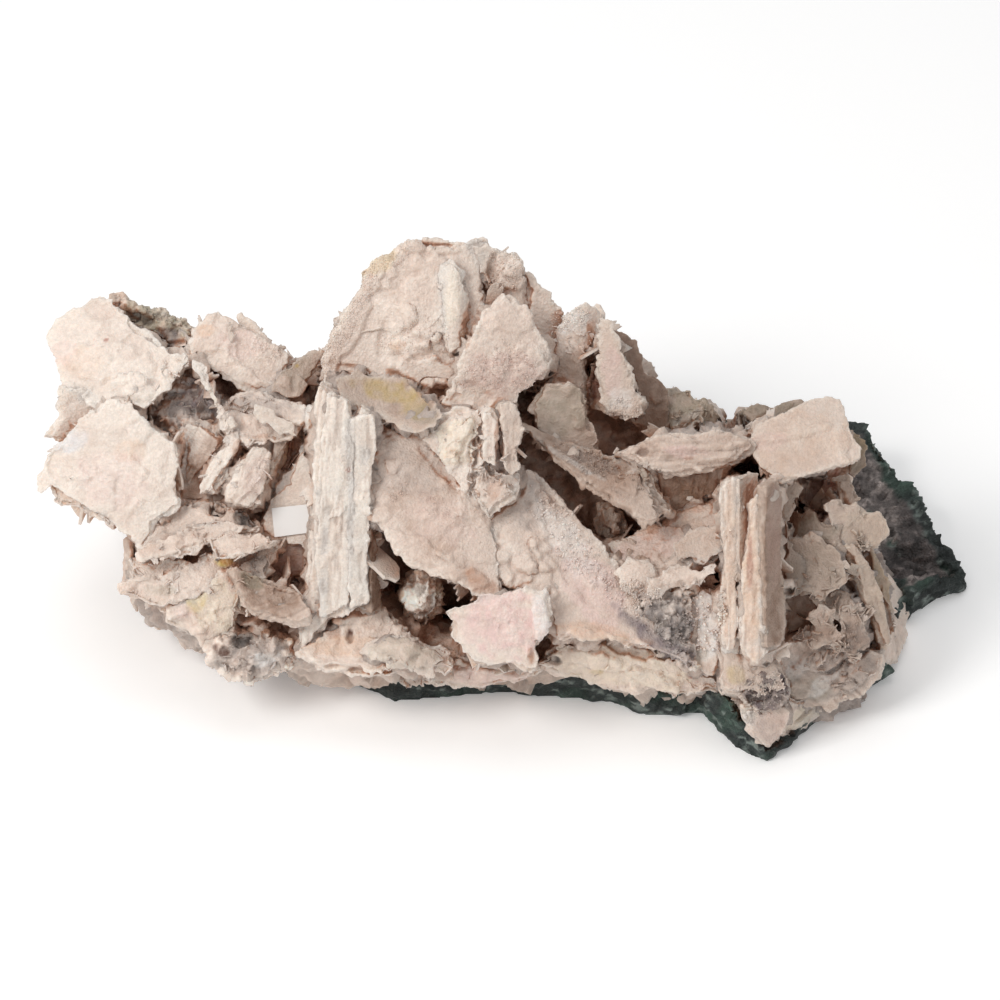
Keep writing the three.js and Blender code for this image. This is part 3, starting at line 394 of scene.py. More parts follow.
FIBRE_TURN = {                 # way the fibres run, degrees from upright, where they don't stand
    "long_flat_blade": 88, "bone_rib_right": 4, "fluted_edge": 10, "striped_recess": 28,
    "right_long_front": -14, "boat_blade": 66, "right_long_rear": -12, "ribbed_druse": -12, "column_core": 3,
    "column_rib_left": 3, "fluted_face": 4, "lower_right_face": -48, "tablet_foot": -12,
    "comb_left": 24, "comb_ridge_upper": 30, "comb_ridge_lower": 30, "curved_blade": 26,
    "slot_blade": 26, "slot_right": 28,
}

# Places where a face stands out or falls back: column, row, half width, half height, turn,
# height (mm).
RAISED = {
    "upper_left_plate": [[120, 366, 46, 24, 15, 0.9], [84, 330, 26, 16, -30, 0.5],
        [130, 385, 30, 12, 10, 0.8], [100, 310, 16, 12, 0, -0.5]],
    "lower_left_plate": [[140, 425, 20, 18, 20, 1], [60, 470, 22, 14, 60, -0.7],
        [110, 505, 30, 16, 30, 0.6], [150, 480, 16, 30, 20, 0.5]],
    "upper_round_plate": [[250, 360, 30, 10, 35, -0.8], [210, 340, 16, 12, 0, 0.5]],
    "fan_core": [[352, 320, 14, 60, 24, 1], [378, 268, 22, 18, -30, 0.8], [430, 300, 30, 48, 0, 1.6],
        [452, 305, 16, 44, 0, 1.4], [414, 344, 26, 14, 0, 1.1], [425, 372, 40, 15, 10, 2],
        [383, 340, 7, 20, 10, -0.9], [430, 246, 40, 8, 5, 0.8], [440, 402, 16, 14, 0, -2.2],
        [345, 372, 26, 10, 10, -0.8]],
    "fan_rear_right": [[510, 275, 14, 14, 0, 1.2], [492, 272, 8, 24, 10, -1.6]],
    "fan_front_right": [[476, 300, 10, 40, 5, 1.2], [510, 320, 26, 14, 10, 0.7],
        [470, 395, 22, 14, 0, -1], [530, 365, 18, 26, -20, 0.6]],
    "yellow_dish": [[420, 400, 34, 4, 42, 1.2]],
    "central_plate": [[430, 556, 62, 11, 28, 0.9], [400, 450, 26, 30, 20, 0.6],
        [470, 500, 14, 26, 10, 0.8], [440, 470, 30, 5, 50, -0.6], [380, 515, 12, 10, 0, 0.6]],
    "long_blade": [[520, 530, 30, 46, 0, 1], [500, 575, 16, 24, 0, 0.8], [560, 560, 8, 60, -38, -0.6],
        [600, 640, 50, 8, 12, 0.9], [540, 590, 14, 30, 0, 0.9]],
    "rose_plate": [[541, 618, 11, 30, -6, 1.6], [490, 640, 34, 14, 10, 0.4]],
    "bone_rib_left": [[460, 430, 12, 26, 10, 1.4], [445, 465, 14, 14, 0, 0.9],
        [474, 452, 6, 26, 0, -1.2]],
    "upper_boat_blade": [[590, 455, 46, 9, 22, -1.2]],
    "long_flat_blade": [[690, 446, 60, 5, -2, 1], [690, 462, 60, 3, -4, 0.8]],
    "square_blade": [[800, 432, 50, 6, -12, 0.6], [840, 440, 8, 26, -10, 0.6]],
    "sloping_plate": [[690, 515, 36, 6, -20, 0.6], [650, 560, 30, 8, -10, -0.7]],
    "boat_blade": [[268, 590, 36, 12, 24, -1]],
    "lower_right_face": [[820, 660, 26, 10, -10, 1.4], [850, 680, 20, 8, -30, 1.2],
        [800, 690, 14, 14, 0, 1.2]],
    "cream_apron": [[600, 660, 40, 9, 12, 1.4], [650, 680, 30, 8, 20, 1]],
    "front_apron": [[360, 668, 40, 8, 0, 1.2], [480, 674, 50, 7, 4, 1.2]],
    "pale_lump": [[400, 645, 24, 10, 10, 1.4]],
    "column_foot": [[345, 618, 40, 8, -10, 1.4], [330, 650, 16, 14, 0, -0.8]],
    "column_core": [[325, 560, 6, 70, 3, 1.2], [360, 560, 7, 60, 0, 0.8]],
}

# Tint of a blade: 0 is the warm dark tone, 1 the palest milk white. The low tints of side faces and of blades
# in gaps also paint their shade.
TONE_OF = by_blade({
    1.1: "cavity_lump",
    0.95: "lower_left_plate",
    0.92: "column_rib_left",
    0.9: "upper_left_plate white_edge_blade thin_diagonal column_core",
    0.85: "left_pale_block comb_ridge_upper comb_ridge_lower white_knob label_face column_rib_right "
          "bone_rib_middle bone_rib_right",
    0.8: "fan_ridge",
    0.75: "bone_rib_left rose_plate tablet_left_edge tablet_right_edge",
    0.7: "bone_rib_foot curved_blade slot_blade",
    0.65: "smooth_rear_plate",
    0.6: "fan_core fan_rear_right fluted_edge square_blade lower_shell pointed_blade tip_face cream_fan "
         "crumbly_blade",
    0.58: "fan_front_right",
    0.55: "rear_shoulder white_flake_upper",
    0.52: "central_plate",
    0.5: "long_blade long_flat_blade sloping_plate upper_shell white_flake_left",
    0.45: "tablet_left_face white_flake_right",
    0.4: "greenish_lump",
    0.35: "grey_nub",
    0.3: "boat_blade upper_boat_blade rear_grey_lump grey_patch comb_floor",
    0.25: "column_side tablet_right_face",
    0.2: "fluted_face dark_lower_face",
    0.15: "grey_side_blade",
    0.1: "pointed_blade_side slot_right dark_rear_rock",
})

# Iron and dust that a whole blade has taken up, and painted shade on blades that are turned from the lamps or
# lie deep among others: the share of its light that it keeps.
DUST_AND_LIGHT_SHADE, STAIN_AND_SHADE, DEEP_STAIN_AND_SHADE = 0.86, 0.7, 0.52
STAIN_AND_SHADE_OF = by_blade({
    DUST_AND_LIGHT_SHADE: "bone_rib_right pointed_blade long_flat_blade square_blade boat_blade tablet_left_face "
           "tablet_foot saucer lower_right_face thin_diagonal orange_triangle",
    STAIN_AND_SHADE: "leaning_blade slot_blade pink_recess yellow_dish greenish_lump pointed_blade_side "
             "upper_boat_blade fluted_edge fluted_face rear_grey_lump tablet_right_face dark_lower_face "
             "cream_fan right_long_front white_flake_left white_flake_right purple_lump "
             "wedge_above_boat right_long_rear",
    DEEP_STAIN_AND_SHADE: "column_side grey_side_blade cavity_slab rear_crust upper_shell lower_shell "
                    "smooth_rear_plate white_flake_upper yellow_twist right_thin_blade",
})
# The hue below is that of the stain and of the painted shade alike.
STAIN_AND_SHADE_HUE = np.array([0.9, 1.04, 1.14])   # a stain takes more of the blue than of the red


# Colours of the minerals, sRGB. The recess colours and the hole, dark, umber and brown marks also paint
# shade.
QUARTZ_PALE, QUARTZ_MID, QUARTZ_WARM = "#ecdfd4", "#decbbe", "#c2a796"
QUARTZ_RIM = "#f1e6db"
# Recess colours: iron stain and painted shade in the crevices, and dark brown painted shade in the deepest
# hollows.
CREVICE_STAIN_AND_SHADE, DEEP_HOLLOW_STAIN_AND_SHADE = "#b98560", "#6a4430"
QUARTZ_PATCHES = (0.20, 13.0), (0.16, 4.0), (0.10, 1.3)   # how much each changes the tint, and its size
BASALT_DARK, BASALT_GREEN, BASALT_FLECK = "#262e2c", "#35483f", "#8b9690"
CRUST_DARK, CRUST_PALE = "#5f5755", "#8a807c"
PAPER = "#eeecea"
MARK_COLOURS = {
    "yellow": "#d2b65e", "rust": "#a8642c", "red": "#9c4a34", "rose": "#e8cbc4", "white": "#f4f0ec",
    "grey": "#8e8480", "green": "#a39b88", "purple": "#7a6c70", "cream": "#efe0cc", "hole": "#2e1a12",
    "orange": "#dcae88", "brown": "#8d6a52", "dark": "#40352f", "blue": "#dfdfe2", "pink": "#d9bcb1",
    "umber": "#6b4330",
}
# Marks on a blade: kind, column, row, half width, half height, turn, strength.
# Hole marks paint their pit near black, as painted shade; many dark, umber and brown marks paint shade in
# gaps, in pits and on faces turned from the lamps. The rest are the stone's own colours and stains.
MARKS = {
    "upper_left_plate": [["rose", 62, 350, 16, 14, 0, 0.35], ["red", 106, 340, 3, 2.5, 0, 0.9],
        ["orange", 85, 362, 26, 16, 0, 0.17]],
    "dark_rear_rock": [["green", 150, 322, 40, 30, 0, 0.8], ["purple", 168, 338, 12, 12, 0, 0.6],
        ["dark", 138, 318, 16, 5, 20, 0.7]],
    "upper_round_plate": [["orange", 205, 330, 10, 7, 0, 0.35], ["rose", 240, 345, 26, 16, 20, 0.3]],
    "upper_round_back": [["brown", 285, 352, 16, 10, 45, 0.5]],
    "leaning_blade": [["green", 300, 372, 20, 16, 0, 0.25], ["yellow", 297, 366, 3, 2.5, 0, 0.8]],
    "pinkish_slab": [["grey", 255, 405, 40, 12, 8, 0.45]],
    "white_edge_blade": [["cream", 212, 396, 6, 18, 25, 0.5]],
    "lower_left_plate": [["orange", 130, 450, 18, 12, 0, 0.21], ["rose", 110, 480, 40, 30, 0, 0.3],
        ["blue", 70, 440, 22, 14, -20, 0.5]],
    "comb_left": [["orange", 180, 480, 10, 22, 20, 0.28], ["brown", 204, 456, 9, 30, 28, 0.5]],
    "curved_blade": [["pink", 256, 476, 14, 22, 20, 0.35]],
    "comb_floor": [["rust", 240, 446, 18, 24, 20, 0.85], ["umber", 224, 470, 14, 26, 30, 0.6],
        ["orange", 278, 460, 12, 34, 28, 0.7], ["brown", 200, 470, 14, 34, 25, 0.7]],
    "slot_right": [["umber", 286, 462, 12, 34, 28, 0.8], ["rust", 298, 442, 10, 14, 20, 0.36]],
    "comb_ridge_upper": [["rust", 236, 448, 4, 12, 20, 0.3]],
    "grey_patch": [["grey", 180, 398, 50, 34, 0, 0.8], ["purple", 196, 396, 22, 16, 30, 0.6],
        ["dark", 206, 414, 14, 8, 40, 0.7], ["dark", 158, 424, 14, 8, 20, 0.7],
        ["white", 176, 386, 16, 8, 0, 0.5]],
    "comb_cap": [["rust", 262, 438, 10, 5, 0, 0.36]],
    "hole_ledge": [["hole", 190, 497, 13, 6, -32, 1], ["hole", 218, 508, 9, 8, 20, 1],
        ["dark", 246, 517, 14, 12, 30, 0.9], ["grey", 205, 505, 8, 5, 0, 0.5],
        ["hole", 222, 527, 4, 3, 0, 1]],
    "long_slat": [["rust", 206, 549, 14, 5, -28, 0.42], ["green", 160, 590, 18, 6, 0, 0.3],
        ["yellow", 226, 561, 11, 7, 0, 0.7]],
    "wedge_above_boat": [["grey", 258, 566, 16, 10, -30, 0.6], ["yellow", 230, 562, 8, 7, 0, 0.7]],
    "pink_recess": [["pink", 285, 560, 24, 22, 0, 0.8], ["rose", 298, 540, 14, 12, 0, 0.6],
        ["hole", 296, 583, 8, 8, 0, 1]],
    "lower_cream_blade": [["cream", 220, 610, 26, 30, 0, 0.7], ["yellow", 198, 600, 10, 16, 20, 0.5],
        ["rose", 182, 612, 14, 8, 0, 0.4]],
    "boat_blade": [["brown", 268, 592, 40, 22, 24, 0.5], ["green", 250, 580, 16, 10, 24, 0.5]],
    "grey_nub": [["grey", 250, 656, 40, 24, 0, 0.6], ["dark", 240, 640, 12, 7, -20, 0.8],
        ["umber", 222, 650, 10, 6, 30, 0.7], ["white", 262, 660, 16, 8, 0, 0.5]],
    "column_core": [["rust", 336, 607, 10, 12, 0, 0.27], ["brown", 366, 520, 3, 8, 0, 0.8],
        ["orange", 340, 560, 8, 30, 0, 0.21]],
    "column_rib_left": [["red", 348, 470, 2.5, 2.5, 0, 0.9]],
    "column_side": [["brown", 376, 570, 10, 50, 0, 0.9]],
    "column_foot": [["rust", 334, 630, 9, 14, 0, 0.42], ["umber", 350, 634, 4, 8, 0, 0.8],
        ["orange", 345, 645, 40, 12, 0, 0.32], ["rust", 376, 648, 5, 9, -20, 0.36]],
    "pale_lump": [["green", 400, 650, 40, 20, 0, 0.35]],
    "fan_core": [["orange", 398, 345, 12, 6, 0, 0.35], ["yellow", 380, 262, 30, 10, -30, 0.25],
        ["brown", 448, 400, 14, 16, 0, 0.6]],
    "fan_ridge": [["cream", 452, 300, 9, 30, 2, 0.4]],
    "fan_front_right": [["rust", 467, 336, 4, 14, 0, 0.48], ["pink", 505, 375, 44, 24, 0, 0.5]],
    "fan_rear_right": [["brown", 490, 278, 8, 20, 0, 0.6]],
    "yellow_dish": [["yellow", 388, 392, 36, 11, 8, 0.5], ["yellow", 414, 410, 18, 11, 35, 0.45],
        ["rust", 425, 404, 16, 4, 45, 0.35], ["green", 425, 420, 14, 12, 45, 0.4]],
    "central_plate": [["grey", 415, 470, 44, 34, 30, 0.25], ["pink", 440, 520, 40, 26, 30, 0.3],
        ["rust", 483, 585, 26, 10, 35, 0.36], ["rust", 368, 517, 4, 7, 0, 0.48]],
    "bone_rib_middle": [["rust", 498, 440, 4, 26, 0, 0.48]],
    "bone_rib_foot": [["hole", 491, 468, 5, 7, 0, 1], ["rust", 494, 492, 8, 12, 20, 0.3]],
    "bone_rib_left": [["cream", 458, 440, 26, 26, 0, 0.6]],
    "long_blade": [["rose", 590, 585, 26, 50, -35, 0.5], ["white", 565, 540, 16, 60, -38, 0.3],
        ["grey", 524, 505, 22, 30, 0, 0.35], ["purple", 652, 638, 48, 11, 38, 0.75],
        ["orange", 600, 635, 50, 10, 12, 0.28]],
    "rose_plate": [["rose", 505, 625, 46, 34, 0, 0.9], ["white", 541, 615, 9, 30, 0, 0.6],
        ["rust", 531, 657, 4, 9, 0, 0.48]],
    "crumbly_blade": [["white", 572, 322, 22, 14, 0, 0.5], ["brown", 575, 375, 20, 26, 0, 0.5]],
    "pointed_blade": [["rose", 612, 375, 10, 30, 0, 0.5], ["white", 622, 400, 14, 12, 0, 0.5],
        ["umber", 614, 416, 12, 5, 0, 0.7]],
    "pointed_blade_side": [["umber", 592, 382, 12, 28, 0, 0.9], ["brown", 600, 350, 12, 24, 0, 0.6]],
    "grey_side_blade": [["brown", 640, 375, 40, 60, 0, 0.45]],
    "greenish_lump": [["green", 562, 410, 34, 30, 0, 0.45]],
    "rear_grey_lump": [["green", 695, 410, 36, 28, 0, 0.6], ["white", 690, 420, 16, 8, 0, 0.3],
        ["dark", 727, 424, 8, 14, 0, 0.9]],
    "rear_crust": [["green", 775, 412, 44, 14, 0, 0.6], ["dark", 742, 424, 10, 10, 0, 0.9]],
    "upper_boat_blade": [["brown", 570, 450, 44, 16, 18, 0.35], ["grey", 590, 462, 30, 12, 20, 0.4],
        ["white", 560, 457, 50, 3, 28, 0.5]],
    "long_flat_blade": [["rose", 685, 452, 24, 7, 0, 0.6], ["umber", 642, 452, 7, 5, 0, 0.6],
        ["rust", 690, 458, 6, 2, 0, 0.36]],
    "fluted_face": [["brown", 695, 486, 42, 20, 0, 0.8]],
    "fluted_edge": [["green", 640, 480, 8, 20, 0, 0.4]],
    "square_blade": [["orange", 800, 440, 60, 34, 0, 0.17], ["rose", 770, 440, 20, 12, 0, 0.3],
        ["hole", 760, 477, 7, 6, 0, 1]],
    "sloping_plate": [["orange", 690, 530, 20, 10, 0, 0.21], ["rose", 650, 545, 40, 16, -20, 0.3]],
    "tablet_left_edge": [["orange", 731, 560, 8, 90, 0, 0.24]],
    "tablet_right_edge": [["orange", 752, 580, 9, 80, 0, 0.35], ["red", 750, 560, 3, 30, 0, 0.4]],
    "tablet_right_face": [["brown", 774, 560, 14, 90, 0, 0.5], ["rose", 775, 540, 8, 60, 0, 0.3]],
    "smooth_rear_plate": [["green", 800, 580, 20, 20, 0, 0.25]],
    "dark_lower_face": [["brown", 800, 610, 30, 26, 0, 0.85]],
    "lower_shell": [["green", 818, 564, 28, 24, 0, 0.2]],
    "upper_shell": [["green", 812, 528, 28, 18, 0, 0.45]],
    "striped_recess": [["pink", 825, 490, 14, 30, 25, 0.8], ["red", 830, 488, 3, 24, 25, 0.5],
        ["umber", 812, 492, 6, 22, 25, 0.7]],
    "yellow_twist": [["yellow", 860, 445, 10, 16, -20, 0.35], ["green", 856, 452, 16, 24, -20, 0.6]],
    "cream_fan": [["cream", 862, 530, 30, 24, 0, 0.3]],
    "white_flake_right": [["grey", 856, 640, 16, 18, 0, 0.4]],
    "white_flake_left": [["brown", 822, 632, 14, 12, 0, 0.4]],
    "right_long_rear": [["grey", 882, 590, 14, 50, -15, 0.5], ["yellow", 882, 580, 10, 40, -15, 0.2]],
    "right_long_front": [["cream", 870, 600, 20, 60, -20, 0.4]],
    "grey_druse": [["grey", 660, 632, 44, 46, 0, 0.9], ["purple", 672, 655, 30, 14, 30, 0.5]],
    "ribbed_druse": [["white", 704, 628, 18, 44, 0, 0.6], ["green", 690, 660, 18, 16, 0, 0.4]],
    "purple_lump": [["purple", 768, 692, 26, 26, 0, 0.95], ["dark", 762, 694, 14, 12, 0, 0.6]],
    "orange_triangle": [["rose", 770, 728, 30, 18, 0, 0.3], ["grey", 764, 734, 16, 14, 0, 0.3],
        ["green", 752, 712, 10, 10, 0, 0.2]],
    "tip_face": [["green", 820, 706, 30, 12, -30, 0.35], ["grey", 850, 688, 26, 8, -30, 0.5],
        ["umber", 842, 690, 12, 2.5, -32, 0.6], ["umber", 806, 716, 14, 2, -36, 0.6],
        ["cream", 800, 720, 20, 10, -30, 0.5]],
    "lower_right_face": [["grey", 830, 672, 60, 30, -20, 0.45], ["white", 790, 668, 18, 18, 0, 0.45],
        ["dark", 848, 662, 30, 4, -30, 0.6], ["green", 800, 690, 30, 16, 0, 0.35],
        ["white", 822, 684, 26, 8, -40, 0.5]],
    "tablet_foot": [["orange", 760, 650, 12, 20, 0, 0.28], ["yellow", 735, 675, 12, 10, 0, 0.3]],
    "cream_apron": [["cream", 620, 668, 80, 20, 10, 0.6], ["red", 692, 675, 4, 5, 0, 0.8],
        ["yellow", 596, 672, 8, 4, 0, 0.5], ["dark", 552, 660, 12, 6, 20, 0.7]],
    "front_apron": [["rose", 480, 676, 60, 10, 5, 0.4], ["grey", 370, 676, 50, 8, 0, 0.4],
        ["dark", 400, 664, 4, 8, 20, 0.7]],
}

# Scattered crystals: column, row, half width, half height, turn, how many, length (mm), how far
# they lean from standing on end (0 to 1).
CRYSTALS = {
    "centre_plates": [[572, 545, 22, 62, -38, 325, 1.02, 0.95], [625, 600, 16, 40, -38, 112, 0.9, 0.9],
        [455, 515, 40, 20, 30, 75, 0.54, 0.6], [395, 490, 14, 12, 0, 50, 0.6, 0.6]],
    "tall_fan": [[352, 310, 14, 62, 26, 525, 0.54, 0.6], [420, 340, 40, 26, 0, 250, 0.54, 0.6],
        [500, 370, 40, 28, 0, 475, 0.57, 0.6], [380, 262, 34, 14, -30, 188, 0.54, 0.6],
        [505, 270, 20, 22, 0, 200, 0.6, 0.5]],
    "upper_right": [[572, 318, 24, 16, 0, 150, 0.66, 0.5], [590, 462, 50, 12, 22, 200, 0.78, 0.6],
        [625, 408, 18, 12, 0, 75, 0.72, 0.5]],
    "right_side": [[700, 625, 26, 34, 0, 162, 1.44, 0.35], [640, 600, 24, 18, 30, 150, 0.84, 0.5],
        [668, 640, 20, 36, -38, 325, 0.78, 0.5], [768, 692, 22, 22, 0, 200, 0.84, 0.5],
        [730, 535, 8, 12, 0, 38, 0.72, 0.4], [800, 500, 14, 20, 0, 25, 0.72, 0.6]],
    "left_upper": [[245, 405, 34, 12, 0, 112, 0.54, 0.6], [270, 350, 20, 12, 30, 88, 0.54, 0.6]],
}

# Broken shards among the front blades: column, row, half width, half height, turn, how many,
# size (1 is about 8 mm).
SHARDS = {
    "right_side": [[826, 610, 40, 56, -12, 120, 0.42], [845, 672, 44, 22, -20, 70, 0.36],
        [872, 520, 20, 36, -20, 45, 0.4], [760, 690, 30, 20, 0, 36, 0.3], [700, 600, 30, 22, 0, 36, 0.34],
        [640, 668, 70, 14, 12, 40, 0.3]],
    "left_comb": [[238, 470, 46, 36, 25, 40, 0.34]],
    "left_lower": [[210, 560, 80, 40, -15, 80, 0.34], [245, 655, 40, 20, 0, 36, 0.3]],
    "centre_plates": [[484, 455, 38, 46, 0, 60, 0.32]],
    "upper_right": [[575, 330, 30, 24, 0, 36, 0.34], [700, 420, 44, 14, 0, 40, 0.32],
        [620, 480, 50, 30, 25, 36, 0.3]],
    "left_upper": [[190, 400, 60, 34, 20, 60, 0.32]],
}

# ---------------------------------------------------------------- noise
def smooth_step(value, low, high):
    part = np.clip((value - low) / (high - low), 0, 1)
    return part * part * (3 - 2 * part)


def hashed(cells, seed):
    """A number from 0 to 1 for each cell, from an integer hash."""
    h = cells[:, 0] * 73856093 ^ cells[:, 1] * 19349663 ^ cells[:, 2] * 83492791 ^ seed * 265443576
    h = (h ^ (h >> 13)) & 0xFFFFFFFF
    h = (h * 1274126177) & 0xFFFFFFFF
    h = ((h ^ (h >> 15)) * 2246822519) & 0xFFFFFFFF
    return ((h ^ (h >> 13)) & 0xFFFFFF) / float(0x1000000)


def noise(points, size, seed=0):
    """Smooth noise from -1 to 1 whose bumps are `size` across."""
    place = points / size
    cell = np.floor(place).astype(np.int64)
    part = place - cell
    part = part * part * (3 - 2 * part)
    total = np.zeros(len(points))
    for corner in np.ndindex(2, 2, 2):
        weight = np.prod(np.where(corner, part, 1 - part), axis=1)
        total += weight * hashed(cell + corner, seed)
    return total * 2 - 1


def rough_noise(points, size, seed=0):
    """Noise with two finer layers on it."""
    return (noise(points, size, seed) + 0.5 * noise(points, size * 0.46, seed + 5)
            + 0.25 * noise(points, size * 0.21, seed + 9)) / 1.4


def cell_numbers(cells, seed):
    """Three numbers from 0 to 1 for each cell, from the parts of one long hash."""
    h = (cells[:, 0].astype(np.uint64) * np.uint64(0x9E3779B97F4A7C15)
         ^ cells[:, 1].astype(np.uint64) * np.uint64(0xC2B2AE3D27D4EB4F)
         ^ cells[:, 2].astype(np.uint64) * np.uint64(0x165667B19E3779F9) ^ np.uint64(seed * 7919 + 17))
    h ^= h >> np.uint64(31)
    h *= np.uint64(0x7FB5D329728EA185)
    h ^= h >> np.uint64(27)
    h *= np.uint64(0x81DADEF4BC2DD44D)
    h ^= h >> np.uint64(33)
    part = np.uint64(0x1FFFFF)
    return np.stack([h & part, (h >> np.uint64(21)) & part, (h >> np.uint64(42)) & part],
                    axis=1) / float(0x200000)


def grains(points, size, seed=0):
    """For each point: distance from its grain's centre (0 to about 0.8), the grain's own number,
    and the height of a flat through the grain, tilted at random (about -0.5 to 0.5)."""
    place = points / size
    cell = np.floor(place - 0.5).astype(np.int64)
    best = np.full(len(points), np.inf)
    tag, tilt = np.zeros(len(points)), np.zeros(len(points))
    for shift in np.ndindex(2, 2, 2):
        near = cell + shift
        offset = place - (near + 0.5 + 0.8 * (cell_numbers(near, seed) - 0.5))
        gap = np.einsum("ij,ij->i", offset, offset)
        own = cell_numbers(near, seed + 1)
        closer = gap < best
        best[closer] = gap[closer]
        tag[closer] = own[closer, 0]
        tilt[closer] = np.einsum("ij,ij->i", offset[closer], own[closer] * 2 - 1)
    return np.sqrt(best), tag, tilt


# ---------------------------------------------------------------- colour
def linear(hex_colour):
    parts = [int(hex_colour[i:i + 2], 16) / 255 for i in (1, 3, 5)]
    return np.array([p / 12.92 if p <= 0.04045 else ((p + 0.055) / 1.055) ** 2.4 for p in parts])


def mixed(colour, other, share):
    """The colour with each point's share of another in it."""
    share = share[:, None]
    return colour * (1 - share) + other * share


def quartz_colour(points, tone, rim, seed=3):
    """Natural colour of quartz: patches of warm and milky, paler on broken edges."""
    for number, (weight, size) in enumerate(QUARTZ_PATCHES):
        tone = tone + weight * noise(points, size, seed + number)
    colour = mixed(linear(QUARTZ_WARM), linear(QUARTZ_MID), smooth_step(tone, 0.0, 0.5))
    colour = mixed(colour, linear(QUARTZ_PALE), smooth_step(tone, 0.45, 1.05))
    edge = 0.55 * rim * (0.6 + 0.4 * noise(points, 2.0, seed + 3))
    return mixed(colour, linear(QUARTZ_RIM), edge)


# ---------------------------------------------------------------- the sheet
def on_sheet(column, row, depth):
    reach = 1 + depth / SIGHT_LENGTH
    return (EYE + DEEP * SIGHT_LENGTH * reach + RIGHT * (column - SHEET_MIDDLE) * SHEET_UNIT * reach
            + UP * (SHEET_MIDDLE - row) * SHEET_UNIT * reach)


def sheet_place(points):
    """Column and row at which the eye sees each point."""
    sight = points - EYE
    reach = sight @ DEEP / SIGHT_LENGTH
    return (SHEET_MIDDLE + sight @ RIGHT / (reach * SHEET_UNIT),
            SHEET_MIDDLE - sight @ UP / (reach * SHEET_UNIT))


def sheet_cell(points):
    """The cell of the depth map in which the eye sees each point."""
    column, row = sheet_place(points)
    return (row / FILL_CELL).astype(int), (column / FILL_CELL).astype(int)


def behind_sheet(points):
    """How far each point lies behind the sheet (mm)."""
    return (points - SHEET_CENTRE) @ DEEP


def spot_weight(column, row, spot, wander):
    """How far each place lies within a spot, 1 inside and 0 outside, with an uneven edge."""
    middle_column, middle_row, half_width, half_height, turn = spot
    c, s = math.cos(math.radians(turn)), math.sin(math.radians(turn))
    dx, dy = column - middle_column, row - middle_row
    reach = np.hypot((dx * c + dy * s) / half_width, (dy * c - dx * s) / half_height)
    return 1 - smooth_step(reach + 0.32 * wander, 0.7, 1.1)


class Plane:
    """Where a blade lies: its middle, the way its face looks, and its own two directions."""

    def __init__(self, centre, normal, across):
        self.centre, self.normal, self.across = centre, normal, across
        self.along = np.cross(normal, across)

    def flat(self, outline):
        """The outline drawn on the plane itself, in its own two directions."""
        spots = []
        for column, row in outline:
            ray = on_sheet(column, row, 0) - EYE
            hit = EYE + ray * ((self.centre - EYE) @ self.normal) / (ray @ self.normal)
            spots.append([(hit - self.centre) @ self.across, (hit - self.centre) @ self.along])
        return np.array(spots)

    def placed(self, local):
        return self.centre + local @ np.array([self.across, self.along, self.normal])


def front_plane(depth, lean, turn, outline):
    """Plane of a blade on the show side; its normal looks away from the eye."""
    column, row = np.mean(outline, axis=0)
    normal = DEEP - math.tan(math.radians(turn)) * RIGHT - math.tan(math.radians(lean)) * UP
    normal = normal / np.linalg.norm(normal)
    across = np.cross(UP, normal)
    return Plane(on_sheet(column, row, depth), normal, across / np.linalg.norm(across))


def back_plane(x, y, z, facing, slope):
    """Plane of a blade on the back, by the way its face looks."""
    a, b = math.radians(facing), math.radians(slope)
    normal = np.array([math.cos(a) * math.cos(b), math.sin(a) * math.cos(b), math.sin(b)])
    across = np.array([-math.sin(a), math.cos(a), 0.0])
    return Plane(np.array([x, y, z]) - FOOT_MIDDLE, normal, across)


# ---------------------------------------------------------------- meshes
def linked(name, data):
    made = bpy.data.objects.new(name, data)
    bpy.context.scene.collection.objects.link(made)
    return made


def mesh_of(bm, name):
    """The bmesh as a mesh; the bmesh goes."""
    mesh = bpy.data.meshes.new(name)
    bm.to_mesh(mesh)
    bm.free()
    return mesh


def plate(bm, ring, low, high):
    """A flat plate with the ring as its outline."""
    face = bm.faces.new([bm.verts.new((u, v, low)) for u, v in ring])
    grown = bmesh.ops.extrude_face_region(bm, geom=[face])["geom"]
    top = [part for part in grown if isinstance(part, bmesh.types.BMVert)]
    bmesh.ops.translate(bm, verts=top, vec=(0, 0, high - low))


def remeshed(bm, grain, name):
    """An even skin over everything in bm, as a new mesh."""
    bmesh.ops.recalc_face_normals(bm, faces=bm.faces)
    return skinned(mesh_of(bm, "rough"), grain, name)


def skinned(rough, grain, name):
    """An even skin over a mesh, as a new mesh; the old one goes."""
    holder = linked("holder", rough)
    skin = holder.modifiers.new("skin", "REMESH")
    skin.mode = "VOXEL"
    skin.voxel_size = grain
    skin.use_smooth_shade = True
    seen = holder.evaluated_get(bpy.context.evaluated_depsgraph_get())
    mesh = bpy.data.meshes.new_from_object(seen)
    bpy.data.objects.remove(holder)
    bpy.data.meshes.remove(rough)
    mesh.name = name
    return mesh


def numbers(rows, field, width):
    """One field of all the rows, such as the place of every vertex, as an array."""
    flat = np.empty(len(rows) * width, dtype=np.float32)
    rows.foreach_get(field, flat)
    return flat.reshape(-1, width).astype(float)


def coordinates(mesh):
    return numbers(mesh.vertices, "co", 3)


def outward(mesh):
    return numbers(mesh.vertex_normals, "vector", 3)


def surface(piece):
    """Where a finished piece's vertices are (mm), and the way its surface looks there."""
    return coordinates(piece.data) / MM, outward(piece.data)


def write_coordinates(mesh, points):
    mesh.vertices.foreach_set("co", points.astype(np.float32).ravel())
    mesh.update()


def growth_colour(piece):
    return numbers(piece.data.attributes["growth"].data, "color", 4)[:, :3]


